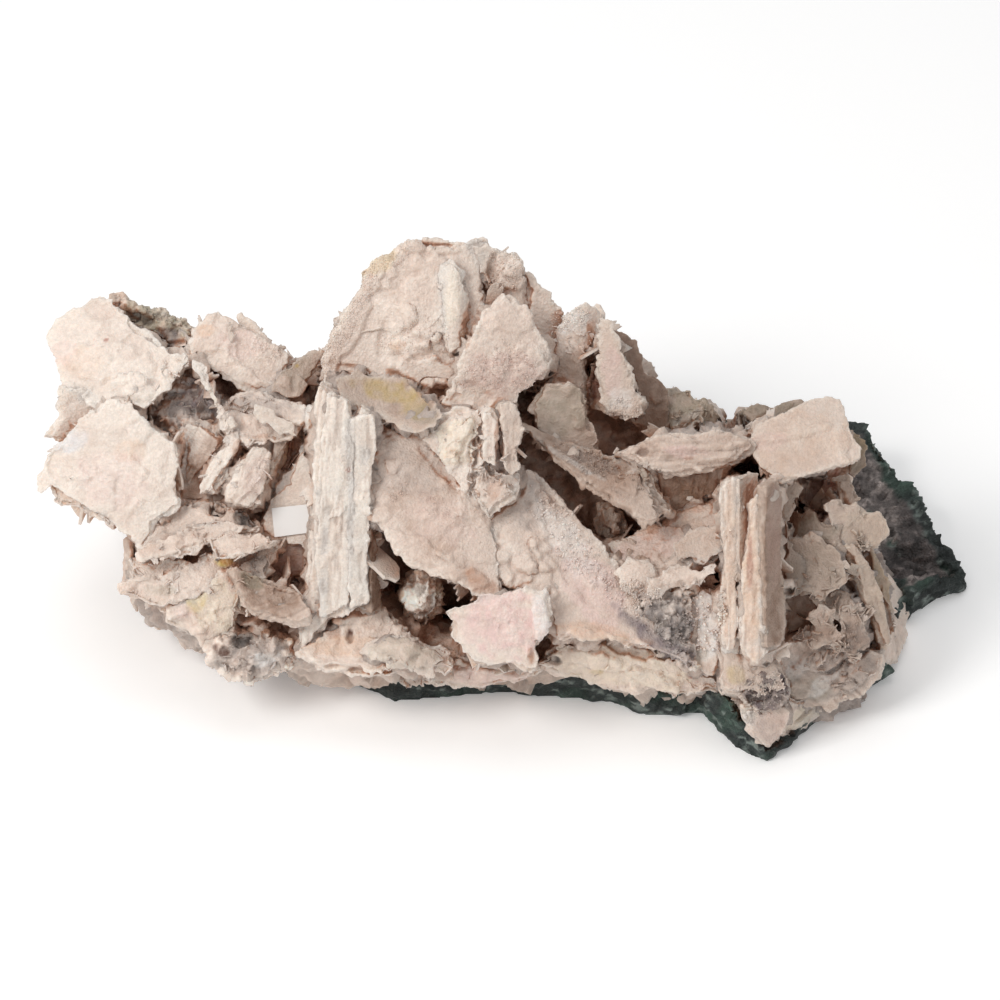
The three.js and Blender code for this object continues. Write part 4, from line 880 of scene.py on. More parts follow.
def write_growth(mesh, colour):
    """Stores the colour of every vertex, which the stone materials read."""
    layer = mesh.attributes.get("growth") or mesh.attributes.new("growth", "FLOAT_COLOR", "POINT")
    opaque = np.column_stack([np.clip(colour, 0, 1), np.ones(len(colour))])
    layer.data.foreach_set("color", opaque.astype(np.float32).ravel())


def finished(name, mesh, points, colour):
    """The mesh as a piece, with its vertices at the points (mm)."""
    write_coordinates(mesh, points * MM)
    write_growth(mesh, colour)
    return linked(name, mesh)


def joined(name, pieces):
    """The pieces as one object."""
    with bpy.context.temp_override(active_object=pieces[0], selected_editable_objects=pieces,
                                   selected_objects=pieces):
        bpy.ops.object.join()
    pieces[0].name = name
    pieces[0].data.name = name
    return pieces[0]


def joined_in_lots(name, pieces):
    """The pieces as one object, or as several when they hold too many triangles."""
    lots, held = [[]], 0
    for piece in pieces:
        count = len(piece.data.polygons) * 2
        if held + count > MOST_TRIANGLES and lots[-1]:
            lots.append([])
            held = 0
        lots[-1].append(piece)
        held += count
    names = [name] if len(lots) == 1 else [f"{name}_{number + 1}" for number in range(len(lots))]
    return [joined(each, lot) for each, lot in zip(names, lots)]


# ---------------------------------------------------------------- a blade
def resampled(ring, step):
    """Points at an even step round a closed ring."""
    closed = np.vstack([ring, ring[:1]])
    lengths = np.concatenate([[0], np.cumsum(np.linalg.norm(np.diff(closed, axis=0), axis=1))])
    count = max(12, int(lengths[-1] / step))
    at = np.linspace(0, lengths[-1], count, endpoint=False)
    return np.stack([np.interp(at, lengths, closed[:, k]) for k in (0, 1)], axis=1)


def signed_area(ring):
    closing = np.roll(ring, -1, axis=0)
    return np.sum(ring[:, 0] * closing[:, 1] - closing[:, 0] * ring[:, 1]) / 2


def ragged(ring, teeth, inset, seed):
    """The ring with a broken edge: straight chips of uneven length, moved in and out by about
    `teeth`, and drawn in here and there by up to `inset`."""
    dice = np.random.default_rng(seed)
    even = resampled(ring, EDGE_STEP)
    run = np.roll(even, -2, axis=0) - np.roll(even, 2, axis=0)
    out = np.stack([run[:, 1], -run[:, 0]], axis=1)
    out /= np.linalg.norm(out, axis=1, keepdims=True) + 1e-9
    out *= np.sign(signed_area(even))
    at, place = [], 0.0
    while place < len(even) - 1:
        at.append(place)
        place += 0.4 + 2.8 * dice.random() ** 3
    at = np.array(at)
    low = np.floor(at).astype(int)
    part = (at - low)[:, None]
    points = even[low] * (1 - part) + even[(low + 1) % len(even)] * part
    spots = np.column_stack([points, np.full(len(points), seed * 7.3)])
    push = teeth * (noise(spots, 10.0, seed) + 0.5 * noise(spots, 4.0, seed + 1)
                    + dice.uniform(-0.6, 0.25, len(points)))
    push -= inset * np.clip(0.4 + 1.2 * noise(spots, 8.0, seed + 2), 0, 1.5)
    return points + out[low] * push[:, None]


def add_flakes(bm, ring, thickness, each_area, seed):
    """Broken remains of further lamellae on both faces and across the edges of a blade."""
    dice = np.random.default_rng(seed + 500)
    middle = ring.mean(axis=0)
    edge = resampled(ring, 2.0)
    for number in range(int(abs(signed_area(ring)) / each_area) + 2):
        spot = edge[dice.integers(len(edge))]
        inward = dice.uniform(0.04, 0.5) if number % 3 else dice.uniform(0.3, 1.0)
        spot = spot + (middle - spot) * inward
        room = np.linalg.norm(edge - spot, axis=1).min()
        reach = min(dice.uniform(1.6, 4.4) * (1.25 if number % 4 == 0 else 1), 0.6 + 0.65 * room)
        angles = np.sort(dice.uniform(0, 2 * math.pi, dice.integers(6, 11)))
        turn = dice.uniform(0, math.pi)
        around = np.stack([np.cos(angles) * reach * dice.uniform(0.8, 1.5), np.sin(angles) * reach], axis=1)
        around *= dice.uniform(0.65, 1.1, (len(angles), 1))
        spin = np.array([[math.cos(turn), math.sin(turn)], [-math.sin(turn), math.cos(turn)]])
        if number % 3 == 2:
            low, high = thickness - FLAKE_ROOT, thickness + dice.uniform(0.3, 0.9)
        else:
            low, high = -dice.uniform(0.3, 1.0), FLAKE_ROOT
        before = len(bm.verts)
        plate(bm, around @ spin + spot, low, high)
        bm.verts.ensure_lookup_table()
        tip = (Matrix.Rotation(math.radians(dice.uniform(-FLAKE_TIP, FLAKE_TIP)), 4, "X")
               @ Matrix.Rotation(math.radians(dice.uniform(-FLAKE_TIP, FLAKE_TIP)), 4, "Y"))
        pivot = Matrix.Translation((*spot, (low + high) / 2))
        bmesh.ops.transform(bm, matrix=pivot @ tip @ pivot.inverted(), verts=bm.verts[before:])


def stack_of_lamellae(name, ring, thickness, finish, grain, seed):
    """The rough shape of a blade: plates with broken edges, one on another."""
    look = FINISHES[finish]
    bm = bmesh.new()
    layers = max(2, min(5, round(thickness / LAMELLA)))
    for layer in range(layers):
        low, high = thickness * layer / layers, thickness * (layer + 1) / layers
        inset = 1.6 if layer == 0 and layers > 2 else 0.4
        plate(bm, ragged(ring, look["teeth"], inset, seed * 13 + layer), low - 0.12, high + 0.12)
    if finish not in ("shell", "slab"):
        add_flakes(bm, ring, thickness, look["flakes"], seed)
    return remeshed(bm, grain, name)


def edge_gap(local, ring):
    """Distance of each point of a plate from its outline, up to FURTHEST_EDGE."""
    gap = np.full(len(local), FURTHEST_EDGE ** 2)
    points = local[:, :2].astype(np.float32)
    for u, v in resampled(ring, 1.5):
        np.minimum(gap, (points[:, 0] - u) ** 2 + (points[:, 1] - v) ** 2, out=gap)
    return np.sqrt(gap)


def fibres(points, inner, length, turn, seed):
    """Slats and threads along a fibrous blade: how far they lift the surface, how deep the cracks
    between them are, and the threads' own part."""
    c, s = math.cos(math.radians(turn)), math.sin(math.radians(turn))
    column, row = sheet_place(points)
    across, down = (column * c + row * s) * SHEET_UNIT, (row * c - column * s) * SHEET_UNIT
    slats = np.stack([across / SLAT_WIDTH, down / (1.4 * length), inner / 5], axis=1)
    threads = np.stack([across / THREAD_WIDTH, down / length, inner / 4], axis=1)
    slat_distance, slat_tag, slat_tilt = grains(slats, 1.0, seed + 40)
    _, thread_tag, _ = grains(threads, 1.0, seed + 50)
    cracks = smooth_step(slat_distance, 0.5, 0.66) * (slat_tag > 0.6)
    lift = 0.34 * (slat_tag - 0.5) + 0.18 * slat_tilt + 0.22 * (thread_tag - 0.5) - 0.35 * cracks
    return lift, cracks, 0.2 * (thread_tag - 0.5)


def blade_piece(name, plane, ring, thickness, finish, tone, grain, seed):
    """One blade as an object: stacked lamellae with broken edges, then the finish's unevenness."""
    look = FINISHES[finish]
    if finish == "shell":
        thickness = max(1.5, 0.4 * thickness)
    elif finish not in ("fibre", "druse"):
        thickness = max(2.2, 0.55 * thickness)
    mesh = stack_of_lamellae(name, ring, thickness, finish, grain, seed)
    local, facing = coordinates(mesh), outward(mesh)
    points = plane.placed(local)
    gap = edge_gap(local, ring)
    front = smooth_step(-facing[:, 2], 0.3, 0.8)
    back = smooth_step(facing[:, 2], 0.3, 0.8)
    rim = 1 - smooth_step(gap, 0.2, 1.8)
    local[:, 2] *= look["edge"] + (1 - look["edge"]) * smooth_step(gap, 0, 2.4)

    _, tag, tilt = grains(points + 0.8 * noise(points, 3.0, 60)[:, None], look["facet_size"], seed)
    _, chip_tag, chip_tilt = grains(points, CHIP_SIZE, seed + 20)
    sugar_distance, sugar_tag, _ = grains(points, SUGAR_SIZE, seed + 30)
    crust = smooth_step(rough_noise(points, 11.0, seed + 3) + look["cover"], -0.1, 0.4)
    relief = look["roll"] * (noise(points, 4.0, seed + 1) + 0.5 * noise(points, 2.0, seed + 2))
    relief += look["facet"] * 1.3 * tilt + look["facet"] * 0.35 * (tag - 0.5)
    relief += (0.05 + 0.14 * rim + 0.12 * look["facet"]) * (2.0 * chip_tilt + 0.4 * chip_tag - 0.2)
    relief += crust * (0.25 * look["grain"] + look["grain"] * 1.5 * (0.45 - sugar_distance))
    lift = relief + look["swell"] * noise(points, 14.0, seed)
    if look["step"]:
        _, level, _ = grains(points + 2.5 * noise(points, 7.0, seed + 4)[:, None], STEP_SIZE, seed + 4)
        lift -= (front + back) * look["step"] * np.round(2 * level) / 2
    cracks = np.zeros(len(points))
    if look["along"]:
        fibre_lift, cracks, fibre_relief = fibres(points, local[:, 2], look["along"],
                                                  FIBRE_TURN.get(name, 0.0), seed)
        lift += fibre_lift
        relief += fibre_relief

    colour = quartz_colour(points, tone + 0.12 * (crust - 0.5) + 0.10 * (tag - 0.5), rim)
    # Painted light and shade: paler where the relief stands out, darker where it sinks; the sugar grains vary
    # in tint.
    colour *= (1 + 0.22 * np.clip(relief, -0.8, 0.6) + 0.10 * (sugar_tag - 0.5) * crust)[:, None]
    # Browner in the cracks between the slats: iron stain, with painted shade in the cracks.
    colour = mixed(colour, linear(MARK_COLOURS["brown"]), 0.22 * cracks)
    if finish == "druse":
        colour *= (0.7 + 0.6 * tag)[:, None]
    column, row = sheet_place(points)
    wander, patches = noise(points, 2.6, 77), 0.85 + 0.5 * noise(points, 1.5, 31)
    for *spot, height in RAISED.get(name, ()):
        weight = spot_weight(column, row, spot, 1.3 * wander)
        lift += height * smooth_step(weight, 0.1, 0.9) * front
    for kind, *spot, strength in MARKS.get(name, ()):
        weight = strength * spot_weight(column, row, spot, wander) * (front if kind == "hole" else 1)
        # A hole sinks the face and paints the pit near black, as painted shade; umber and dark marks press it
        # in a little and paint it dark, often as painted shade in gaps.
        if kind == "hole":
            lift -= min(4.5, thickness - 0.9) * weight
        if kind in ("umber", "dark"):
            lift -= min(1.6, 0.4 * thickness) * weight * front
        colour = mixed(colour, linear(MARK_COLOURS[kind]), np.clip(weight * patches, 0, 1))
    # The blade's stain and dust, with painted shade on blades turned from the lamps.
    colour *= STAIN_AND_SHADE_OF.get(name, 1.0) ** STAIN_AND_SHADE_HUE

    local += facing * lift[:, None]
    extent = np.abs(ring - ring.mean(axis=0)).max(axis=0)
    bow = BOW.get(name, (0, 0))
    local[:, 2] += bow[0] * (local[:, 0] / extent[0]) ** 2 + bow[1] * (local[:, 1] / extent[1]) ** 2
    return finished(name, mesh, plane.placed(local), colour)


def front_blades():
    """The blades of the show side, joined by cluster."""
    clusters, seed = {}, 0
    for cluster, rows in BLADES.items():
        pieces = []
        for name, depth, lean, turn, thickness, corners in rows:
            seed += 1
            outline = outline_of(corners)
            plane = front_plane(depth, lean, turn, outline)
            pieces.append(blade_piece(name, plane, plane.flat(outline), thickness,
                                      FINISH_OF.get(name, "plate"), TONE_OF.get(name, 0.55),
                                      BLADE_GRAIN, seed))
        clusters[cluster] = joined_in_lots(cluster, pieces)
    return clusters


# ---------------------------------------------------------------- the mass behind the blades
def nearest_depth(pieces):
    """For each cell of the sheet, how deep the foremost stone lies there; empty cells are nan."""
    cells = 2 * SHEET_MIDDLE // FILL_CELL
    depth = np.full((cells, cells), np.inf)
    for piece in pieces:
        points = coordinates(piece.data) / MM
        np.minimum.at(depth, sheet_cell(points), behind_sheet(points))
    return np.where(np.isinf(depth), np.nan, depth)


def spread(depth, rounds):
    """The map smoothed over its neighbours and carried into its empty cells, and how full the
    neighbourhood is."""
    known = ~np.isnan(depth)
    value, share = np.where(known, depth, 0.0), known.astype(float)
    for _ in range(rounds):
        value, share = (sum(np.roll(part, way, axis) for axis in (0, 1) for way in (-1, 1)) + part
                        for part in (value, share))
        value, share = value / 5, share / 5
    return np.where(share > 1e-6, value / np.maximum(share, 1e-6), np.nan), share


def above_skyline(points, shown, margin=2.0):
    """How far each point (mm) rises over the front blades, less a margin in sheet units."""
    filled = ~np.isnan(shown)
    number = np.arange(filled.shape[1])
    covered = np.flatnonzero(filled.any(axis=0))
    first = filled.argmax(axis=0)
    top = np.array([np.max(first[covered] - STEEPEST * abs(covered - n)) for n in number]) * FILL_CELL
    column, row = sheet_place(points)
    over = np.interp(column / FILL_CELL - 0.5, number, top) + margin - row
    return np.clip(over, 0, MOST_ABOVE) * SHEET_UNIT


def sight_of(points):
    """The direction in which the eye sees each point."""
    return (points - EYE) / np.linalg.norm(points - EYE, axis=1, keepdims=True)


def bare_mass(shown):
    """The lumps in one skin, drawn forward to the backs of the front blades."""
    around, share = spread(shown, 8)
    fill = np.fmax(around + 2.0, np.where(np.isnan(shown), -np.inf, shown + 1.6))
    bm = bmesh.new()
    for column, row, depth, *reach in LUMPS:
        ball = bmesh.ops.create_icosphere(bm, subdivisions=3, radius=1)["verts"]
        across, up, deep = (half - LUMP_INSET for half in reach)
        shape = Matrix((RIGHT * across, UP * up, -DEEP * deep)).transposed().to_4x4()
        place = Matrix.Translation(Vector(on_sheet(column, row, depth + LUMP_INSET)))
        bmesh.ops.transform(bm, matrix=place @ shape, verts=ball)
    mesh = remeshed(bm, MASS_GRAIN, "druse_mass")
    points, facing = coordinates(mesh), outward(mesh)
    column, row = sheet_place(points)
    cell = sheet_cell(points)
    wanted = fill[cell]
    wander = noise(points, 4.0, 15)
    for cavity in CAVITIES:
        wanted = wanted + CAVITY_DEPTH * spot_weight(column, row, cavity, wander)
    ahead = (np.clip(np.nan_to_num(behind_sheet(points) - wanted), 0, 60)
             * smooth_step(-facing @ DEEP, 0.05, 0.35))
    ahead *= smooth_step(share[cell], 0.85, 0.99)
    points -= sight_of(points) * ahead[:, None]
    points -= UP * above_skyline(points, shown, 6.0)[:, None]
    write_coordinates(mesh, points)
    return skinned(mesh, MASS_GRAIN, "druse_mass")


def druse_mass(shown):
    """The grown-together mass that carries the blades."""
    mesh = bare_mass(shown)
    points, facing = coordinates(mesh), outward(mesh)
    column, _ = sheet_place(points)
    cell, sight = sheet_cell(points), sight_of(points)
    _, tag, tilt = grains(points, 6.5, 4)
    small, small_tag, small_tilt = grains(points, 2.8, 6)
    lift = 1.4 * rough_noise(points, 11.0, 2) + 2.4 * tilt + 1.6 * (tag - 0.5) + 1.2 * small_tilt
    lift += 0.6 * (0.4 - small)
    points += facing * lift[:, None]
    behind = np.clip(np.nan_to_num(shown[cell] + 1.2 - behind_sheet(points)), 0, 6)
    points += sight * (behind * smooth_step(-facing @ DEEP, -0.1, 0.2))[:, None]
    points[:, 2] = np.maximum(points[:, 2], 1.5)
    colour = quartz_colour(points, 0.25 + 0.3 * tag, np.zeros(len(points)))
    colour *= (0.7 + 0.3 * small_tag)[:, None]
    rocky = smooth_step(column + 30 * noise(points, 9.0, 42), *ROCK_COLUMNS) * 0.75
    grey = np.maximum(smooth_step(noise(points, 18.0, 41), 0.1, 0.5) * 0.5, rocky)
    colour = mixed(colour, linear(MARK_COLOURS["grey"]), grey)
    return finished("druse_mass", mesh, points, colour)


# ---------------------------------------------------------------- the back
def even_ring(width, height, number):
    """Uneven outline of a plate on the back."""
    corners = []
    for side in range(BACK_SIDES):
        angle = (side + 0.5) * math.pi * 2 / BACK_SIDES
        reach = 1 + BACK_UNEVEN * math.sin(number * 2.3 + side * 1.9)
        corners.append([reach * math.cos(angle) * width / 2, reach * math.sin(angle) * height / 2])
    return np.array(corners)


def proud(points, normal, mass_points, mass_facing):
    """The move that brings a blade out of the mass, so that it lies on it or stands on it."""
    offset = mass_points - points.mean(axis=0)
    close = np.linalg.norm(offset, axis=1) < AROUND_BLADE
    offset, facing = offset[close], mass_facing[close]
    out = facing.mean(axis=0)
    out /= np.linalg.norm(out)
    along = offset @ out
    aside = np.linalg.norm(offset - along[:, None] * out, axis=1)
    near = along[(aside < UNDER_BLADE) & (facing @ out > 0.2)]
    if not len(near):
        return np.zeros(3)
    standing_clear = 2 + 5 * (1 - abs(out @ normal))
    furthest = 10 + 10 * smooth_step(out[1], 0.0, 0.5)
    return out * np.clip(np.percentile(near, 70) + standing_clear, 0, furthest)


def back_blades(shown, mass):
    """The blades of the back, kept under the show side's skyline."""
    mass_points, mass_facing = surface(mass)
    pieces = []
    for number, (x, y, z, width, height, thickness, facing, slope) in enumerate(BACK_BLADES):
        plane = back_plane(x, y, z, facing, slope)
        plane.centre = plane.centre - plane.normal * thickness / 2
        piece = blade_piece(f"back_{number}", plane, even_ring(width, height, number), thickness,
                            BACK_FINISHES[number % len(BACK_FINISHES)], 0.4 + 0.1 * (number % 4),
                            BACK_GRAIN, 200 + number)
        points, _ = surface(piece)
        points -= UP * above_skyline(points, shown).max()
        points += proud(points, plane.normal, mass_points, mass_facing)
        points -= UP * above_skyline(points, shown).max()
        write_coordinates(piece.data, points * MM)
        pieces.append(piece)
    return joined_in_lots("back_blades", pieces)


# ---------------------------------------------------------------- the slab and the label
def rough_slab(rim):
    """The slab's outline raised to the height of its rim, with a peak in the middle of its top."""
    bm = bmesh.new()
    face = bm.faces.new([bm.verts.new((x, y, 0.0)) for x, y, _ in rim])
    grown = bmesh.ops.extrude_face_region(bm, geom=[face])["geom"]
    for vert in grown:
        if isinstance(vert, bmesh.types.BMVert):
            near = np.argmin(np.hypot(rim[:, 0] - vert.co.x, rim[:, 1] - vert.co.y))
            vert.co.z = rim[near, 2]
    bmesh.ops.poke(bm, faces=[part for part in grown if isinstance(part, bmesh.types.BMFace)])
    return remeshed(bm, SLAB_GRAIN, "basalt_slab")


def basalt_slab():
    """The dark slab: flat underneath, broken round its sides, with grey crust on its top."""
    rim = np.array(SLAB_OUTLINE, dtype=float) - FOOT_MIDDLE
    mesh = rough_slab(rim)
    points, facing = coordinates(mesh), outward(mesh)
    side = 1 - smooth_step(np.abs(facing[:, 2]), 0.5, 0.9)
    up = smooth_step(facing[:, 2], 0.4, 0.8)
    high = smooth_step(points[:, 2], 0.5, 3.0)
    _, tag, tilt = grains(points * [1, 1, 1.6], 8.0, 12)
    _, small_tag, small_tilt = grains(points * [1, 1, 1.5], 3.0, 14)
    lift = (side + up) * (0.9 * rough_noise(points, 9.0, 8) + 2.0 * tilt + 0.9 * small_tilt)
    lift += up * (1.7 * (small_tag - 0.5) + 1.3 * (tag - 0.5))
    lift += (side + up) * (0.5 * noise(points, 1.8, 16) + 0.5 * noise(points * [1, 1, 2.2], 3.2, 17))
    points += facing * (lift * high)[:, None]
    wave = 1.1 * noise(points * [1, 1, 0.2], 6.0, 18) + 0.6 * noise(points * [1, 1, 0.3], 2.6, 19)
    points[:, :2] += facing[:, :2] * (side * wave)[:, None]
    points[:, 2] = np.maximum(points[:, 2], 0.0)

    blend = smooth_step(noise(points, 9.0, 21), -0.1, 0.5)
    colour = mixed(linear(BASALT_DARK), linear(BASALT_GREEN), blend) * (0.6 + 0.8 * small_tag)[:, None]
    fleck = noise(points * [0.7, 0.7, 1.6], 1.5, 23) + 0.5 * noise(points, 7.0, 24)
    colour = mixed(colour, linear(BASALT_FLECK), smooth_step(fleck, 0.35, 0.8) * 0.75)
    inward = np.sqrt(np.min([(points[:, 0] - x) ** 2 + (points[:, 1] - y) ** 2
                             for x, y in resampled(rim[:, :2], 2.0)], axis=0))
    crust = smooth_step(inward + 1.8 * noise(points, 5.0, 25), 3.5, 5.5) * up
    crust *= smooth_step(noise(points, 7.0, 26), -0.75, -0.35)
    _, speck_tag, _ = grains(points, 1.3, 27)
    rock = mixed(linear(CRUST_DARK), linear(CRUST_PALE), blend) * (0.45 + 0.9 * small_tag)[:, None]
    rock = rock * (0.55 + 1.1 * speck_tag ** 3)[:, None] * 1.15
    return finished("basalt_slab", mesh, points, mixed(colour, rock, crust))


def paper_label():
    """Blank paper label, stuck on the blade behind the column."""
    _, depth, lean, turn, _, corners = next(row for row in BLADES["left_comb"] if row[0] == "label_face")
    plane = front_plane(depth, lean, turn, outline_of(corners))
    bm = bmesh.new()
    plate(bm, plane.flat(outline_of(LABEL_OUTLINE)), -0.7, -0.3)
    bmesh.ops.subdivide_edges(bm, edges=bm.edges, cuts=3, use_grid_fill=True)
    bmesh.ops.recalc_face_normals(bm, faces=bm.faces)
    mesh = mesh_of(bm, "label")
    write_coordinates(mesh, plane.placed(coordinates(mesh)) * MM)
    return linked("label", mesh)


# ---------------------------------------------------------------- small growths
def spire():
    """A six-sided crystal one unit long with a pointed end, standing on the origin."""
    bm = bmesh.new()
    body = bmesh.ops.create_cone(bm, cap_ends=True, segments=6, radius1=0.3, radius2=0.28, depth=0.9)
    bmesh.ops.translate(bm, verts=body["verts"], vec=(0, 0, 0.15))
    top = [face for face in bm.faces if face.normal.z > 0.9]
    bmesh.ops.inset_region(bm, faces=top, thickness=0.16)
    bmesh.ops.translate(bm, verts=top[0].verts, vec=(0, 0, 0.28))
    return mesh_of(bm, "crystal")


def bladelet(number):
    """A small broken blade about 8 mm high, standing on the origin."""
    dice = np.random.default_rng(900 + number)
    wide, high, slant = dice.uniform(3.0, 5.5), dice.uniform(5.0, 9.0), dice.uniform(-1.5, 1.5)
    ring = [[-0.6 * wide, -2.0], [0.6 * wide, -2.0], [0.55 * wide + slant, 0.55 * high]]
    steps = dice.integers(5, 8)
    for step in range(steps + 1):
        ring.append([slant + wide * (0.5 - step / steps), high * dice.uniform(0.72, 1.1)])
    ring.append([-0.55 * wide + slant, 0.5 * high])
    bm = bmesh.new()
    plate(bm, np.array(ring), -0.3, 0.3)
    bmesh.ops.recalc_face_normals(bm, faces=bm.faces)
    bmesh.ops.triangulate(bm, faces=[face for face in bm.faces if len(face.verts) > 4])
    bmesh.ops.rotate(bm, verts=bm.verts, matrix=Matrix.Rotation(math.pi / 2, 3, "X"))
    return mesh_of(bm, f"bladelet_{number}")


def standing(spot, upright, width, height, twist):
    """Matrix that stands a unit shape at a spot, its Z along `upright`, in millimetres."""
    upright = Vector(upright).normalized()
    side = upright.orthogonal().normalized()
    side = Matrix.Rotation(twist, 3, upright) @ side
    turn = Matrix((side * width, upright.cross(side) * width, upright * height)).transposed()
    return Matrix.Scale(MM, 4) @ Matrix.Translation(Vector(spot)) @ turn.to_4x4()


def swarm(name, kinds, sprouts):
    """Copies of the given meshes as one object. Each sprout is a matrix (to metres), the spot it
    grows on and its tint, which every vertex takes from the spot it is nearest to."""
    places, spots, tints = zip(*sprouts)
    base = linked(name, bpy.data.meshes.new(name))
    copies = []
    for number, place in enumerate(places):
        copy = linked("copy", kinds[number % len(kinds)])
        copy.matrix_world = place
        copies.append(copy)
    piece = joined(name, [base] + copies)
    tree = KDTree(len(spots))
    for number, spot in enumerate(spots):
        tree.insert(spot, number)
    tree.balance()
    points, _ = surface(piece)
    near = [tree.find(point)[1] for point in points]
    write_growth(piece.data, np.array(tints)[near] * (1 + 0.12 * noise(points, 1.5, 88))[:, None])
    return piece


def picked(dice, able, count):
    """Up to `count` of the vertices that are able to carry something."""
    return dice.choice(able, min(count, len(able)), replace=False) if len(able) else able


def hosts(table, clusters, shown):
    """Each spot of the table on each piece of its cluster: how many growths the piece takes, the
    spot's further values, the piece's surface and colour, the spot's weight, what is in sight."""
    for cluster, rows in table.items():
        lot = clusters[cluster]
        for row in rows:
            spot, count, further = row[:5], row[5], row[6:]
            for piece in lot:
                points, facing = surface(piece)
                weight = spot_weight(*sheet_place(points), spot, noise(points, 5.0, 5))
                in_sight = behind_sheet(points) < shown[sheet_cell(points)] + 1.5
                yield (count // len(lot) + 1, further, points, facing, growth_colour(piece), weight,
                       in_sight)


def scattered_crystals(clusters, shown):
    """Fine crystals in the sugary places."""
    dice = np.random.default_rng(11)
    sprouts = []
    for count, (length, lean), points, facing, host, weight, in_sight in hosts(CRYSTALS, clusters, shown):
        able = np.flatnonzero((weight > dice.uniform(0.1, 0.9, len(points))) & in_sight
                              & (facing @ DEEP < -0.35))
        for pick in picked(dice, able, count):
            upright = facing[pick] * (1.05 - lean) + dice.normal(0, 0.5, 3) * lean
            size = length * dice.uniform(0.6, 1.3)
            place = standing(points[pick] - 0.2 * size * facing[pick], upright,
                             size * dice.uniform(0.7, 1.1), size, dice.uniform(0, 6))
            # Each crystal is paler than the stone it grows on: whiter quartz, and a painted sparkle.
            sprouts.append((place, points[pick], host[pick] * dice.uniform(1.0, 1.35)))
    return swarm("scattered_crystals", [spire()], sprouts)


def bladelets_on(piece, behind, count, shown, share, dice):
    """Small blades on the back of a piece, or in the gaps of the show side."""
    points, facing = surface(piece)
    tone = quartz_colour(points, np.full(len(points), 0.6), np.full(len(points), 0.2))
    cell, away = sheet_cell(points), facing @ DEEP
    room = SKY_MARGIN * SHEET_UNIT - above_skyline(points, shown, SKY_MARGIN)
    if behind:
        flank = abs(facing[:, 0]) > 0.5
        able = np.flatnonzero((away > -0.1) & (share[cell] > 0.95) & (room > 2.5)
                              & (points[:, 2] > 9) & ((points[:, 1] > 0) | flank))
    else:
        able = np.flatnonzero((away < -0.2) & np.isnan(shown[cell]) & (share[cell] > 0.7))
    for pick in picked(dice, able, count):
        upright = facing[pick] + dice.normal(0, 0.8, 3)
        size = dice.uniform(0.45, 1.0) ** 1.5 * (2.0 if behind else 0.55)
        if behind:
            size = min(size, room[pick] / 6.5, 1.0 if away[pick] < 0.3 else 2.0)
        place = standing(points[pick] - 0.8 * facing[pick], upright, size, size * 0.8,
                         dice.uniform(0, 6))
        yield place, points[pick], tone[pick] * dice.uniform(0.85, 1.05)


def scattered_bladelets(clusters, mass, backs, shown):
    """Small blades among the large ones and in their gaps, and all over the back."""
    dice = np.random.default_rng(23)
    share = spread(shown, 4)[1]
    sprouts = []
    carriers = [(mass, False, 80), (mass, True, 700)] + [(back, True, 160) for back in backs]
    for piece, behind, count in carriers:
        sprouts += bladelets_on(piece, behind, count, shown, share, dice)
    for count, (size,), points, facing, host, weight, in_sight in hosts(SHARDS, clusters, shown):
        able = np.flatnonzero((weight > 0.3) & (facing @ DEEP < -0.1) & in_sight
                              & (above_skyline(points, shown, 12.0) == 0) & (points[:, 2] > 3))
        for pick in picked(dice, able, count):
            upright = facing[pick] + dice.normal(0, 0.9, 3)
            reach = size * dice.uniform(0.6, 1.25)
            place = standing(points[pick] - 0.5 * facing[pick], upright, reach, reach * 0.8,
                             dice.uniform(0, 6))
            sprouts.append((place, points[pick], host[pick] * dice.uniform(0.9, 1.1)))
    return swarm("bladelets", [bladelet(number) for number in range(16)], sprouts)


def settle(piece):
    """Keeps a piece off the floor."""
    points = coordinates(piece.data)
    points[:, 2] = np.maximum(points[:, 2], 0.4 * MM)
    write_coordinates(piece.data, points)


# ---------------------------------------------------------------- depth of the recesses
def openness(pieces):
    """How much of the space in front of each point is free of stone, for every piece."""
    everything = [coordinates(piece.data) / MM for piece in pieces]
    stone = np.vstack(everything)
    low = stone.min(axis=0) - ROOM_AROUND
    shape = np.ceil((stone.max(axis=0) + ROOM_AROUND - low) / OPEN_CELL).astype(int) + 1
    filled = np.zeros(shape, dtype=bool)
    filled[tuple(((stone - low) / OPEN_CELL).astype(int).T)] = True
    ways = [np.array(way, dtype=float) - 1 for way in np.ndindex(3, 3, 3) if way != (1, 1, 1)]
    ways = [way / np.linalg.norm(way) for way in ways if way[2] > -0.9]
    results = []
    for piece, points in zip(pieces, everything):
        facing = outward(piece.data)
        start = points + facing * 4.0
        total, weights = np.zeros(len(points)), np.zeros(len(points))
        for way in ways:
            weight = np.maximum(facing @ way, 0)
            free = np.flatnonzero(weight)
            for step in LOOK_STEPS:
                cell = ((start[free] + way * step - low) / OPEN_CELL).astype(int)
                inside = np.all((cell >= 0) & (cell < shape), axis=1)
                blocked = filled[tuple(np.where(inside[:, None], cell, 0).T)] & inside
                free = free[~blocked]
            total[free] += weight[free]
            weights += weight
        results.append(total / np.maximum(weights, 0.01))
    return results


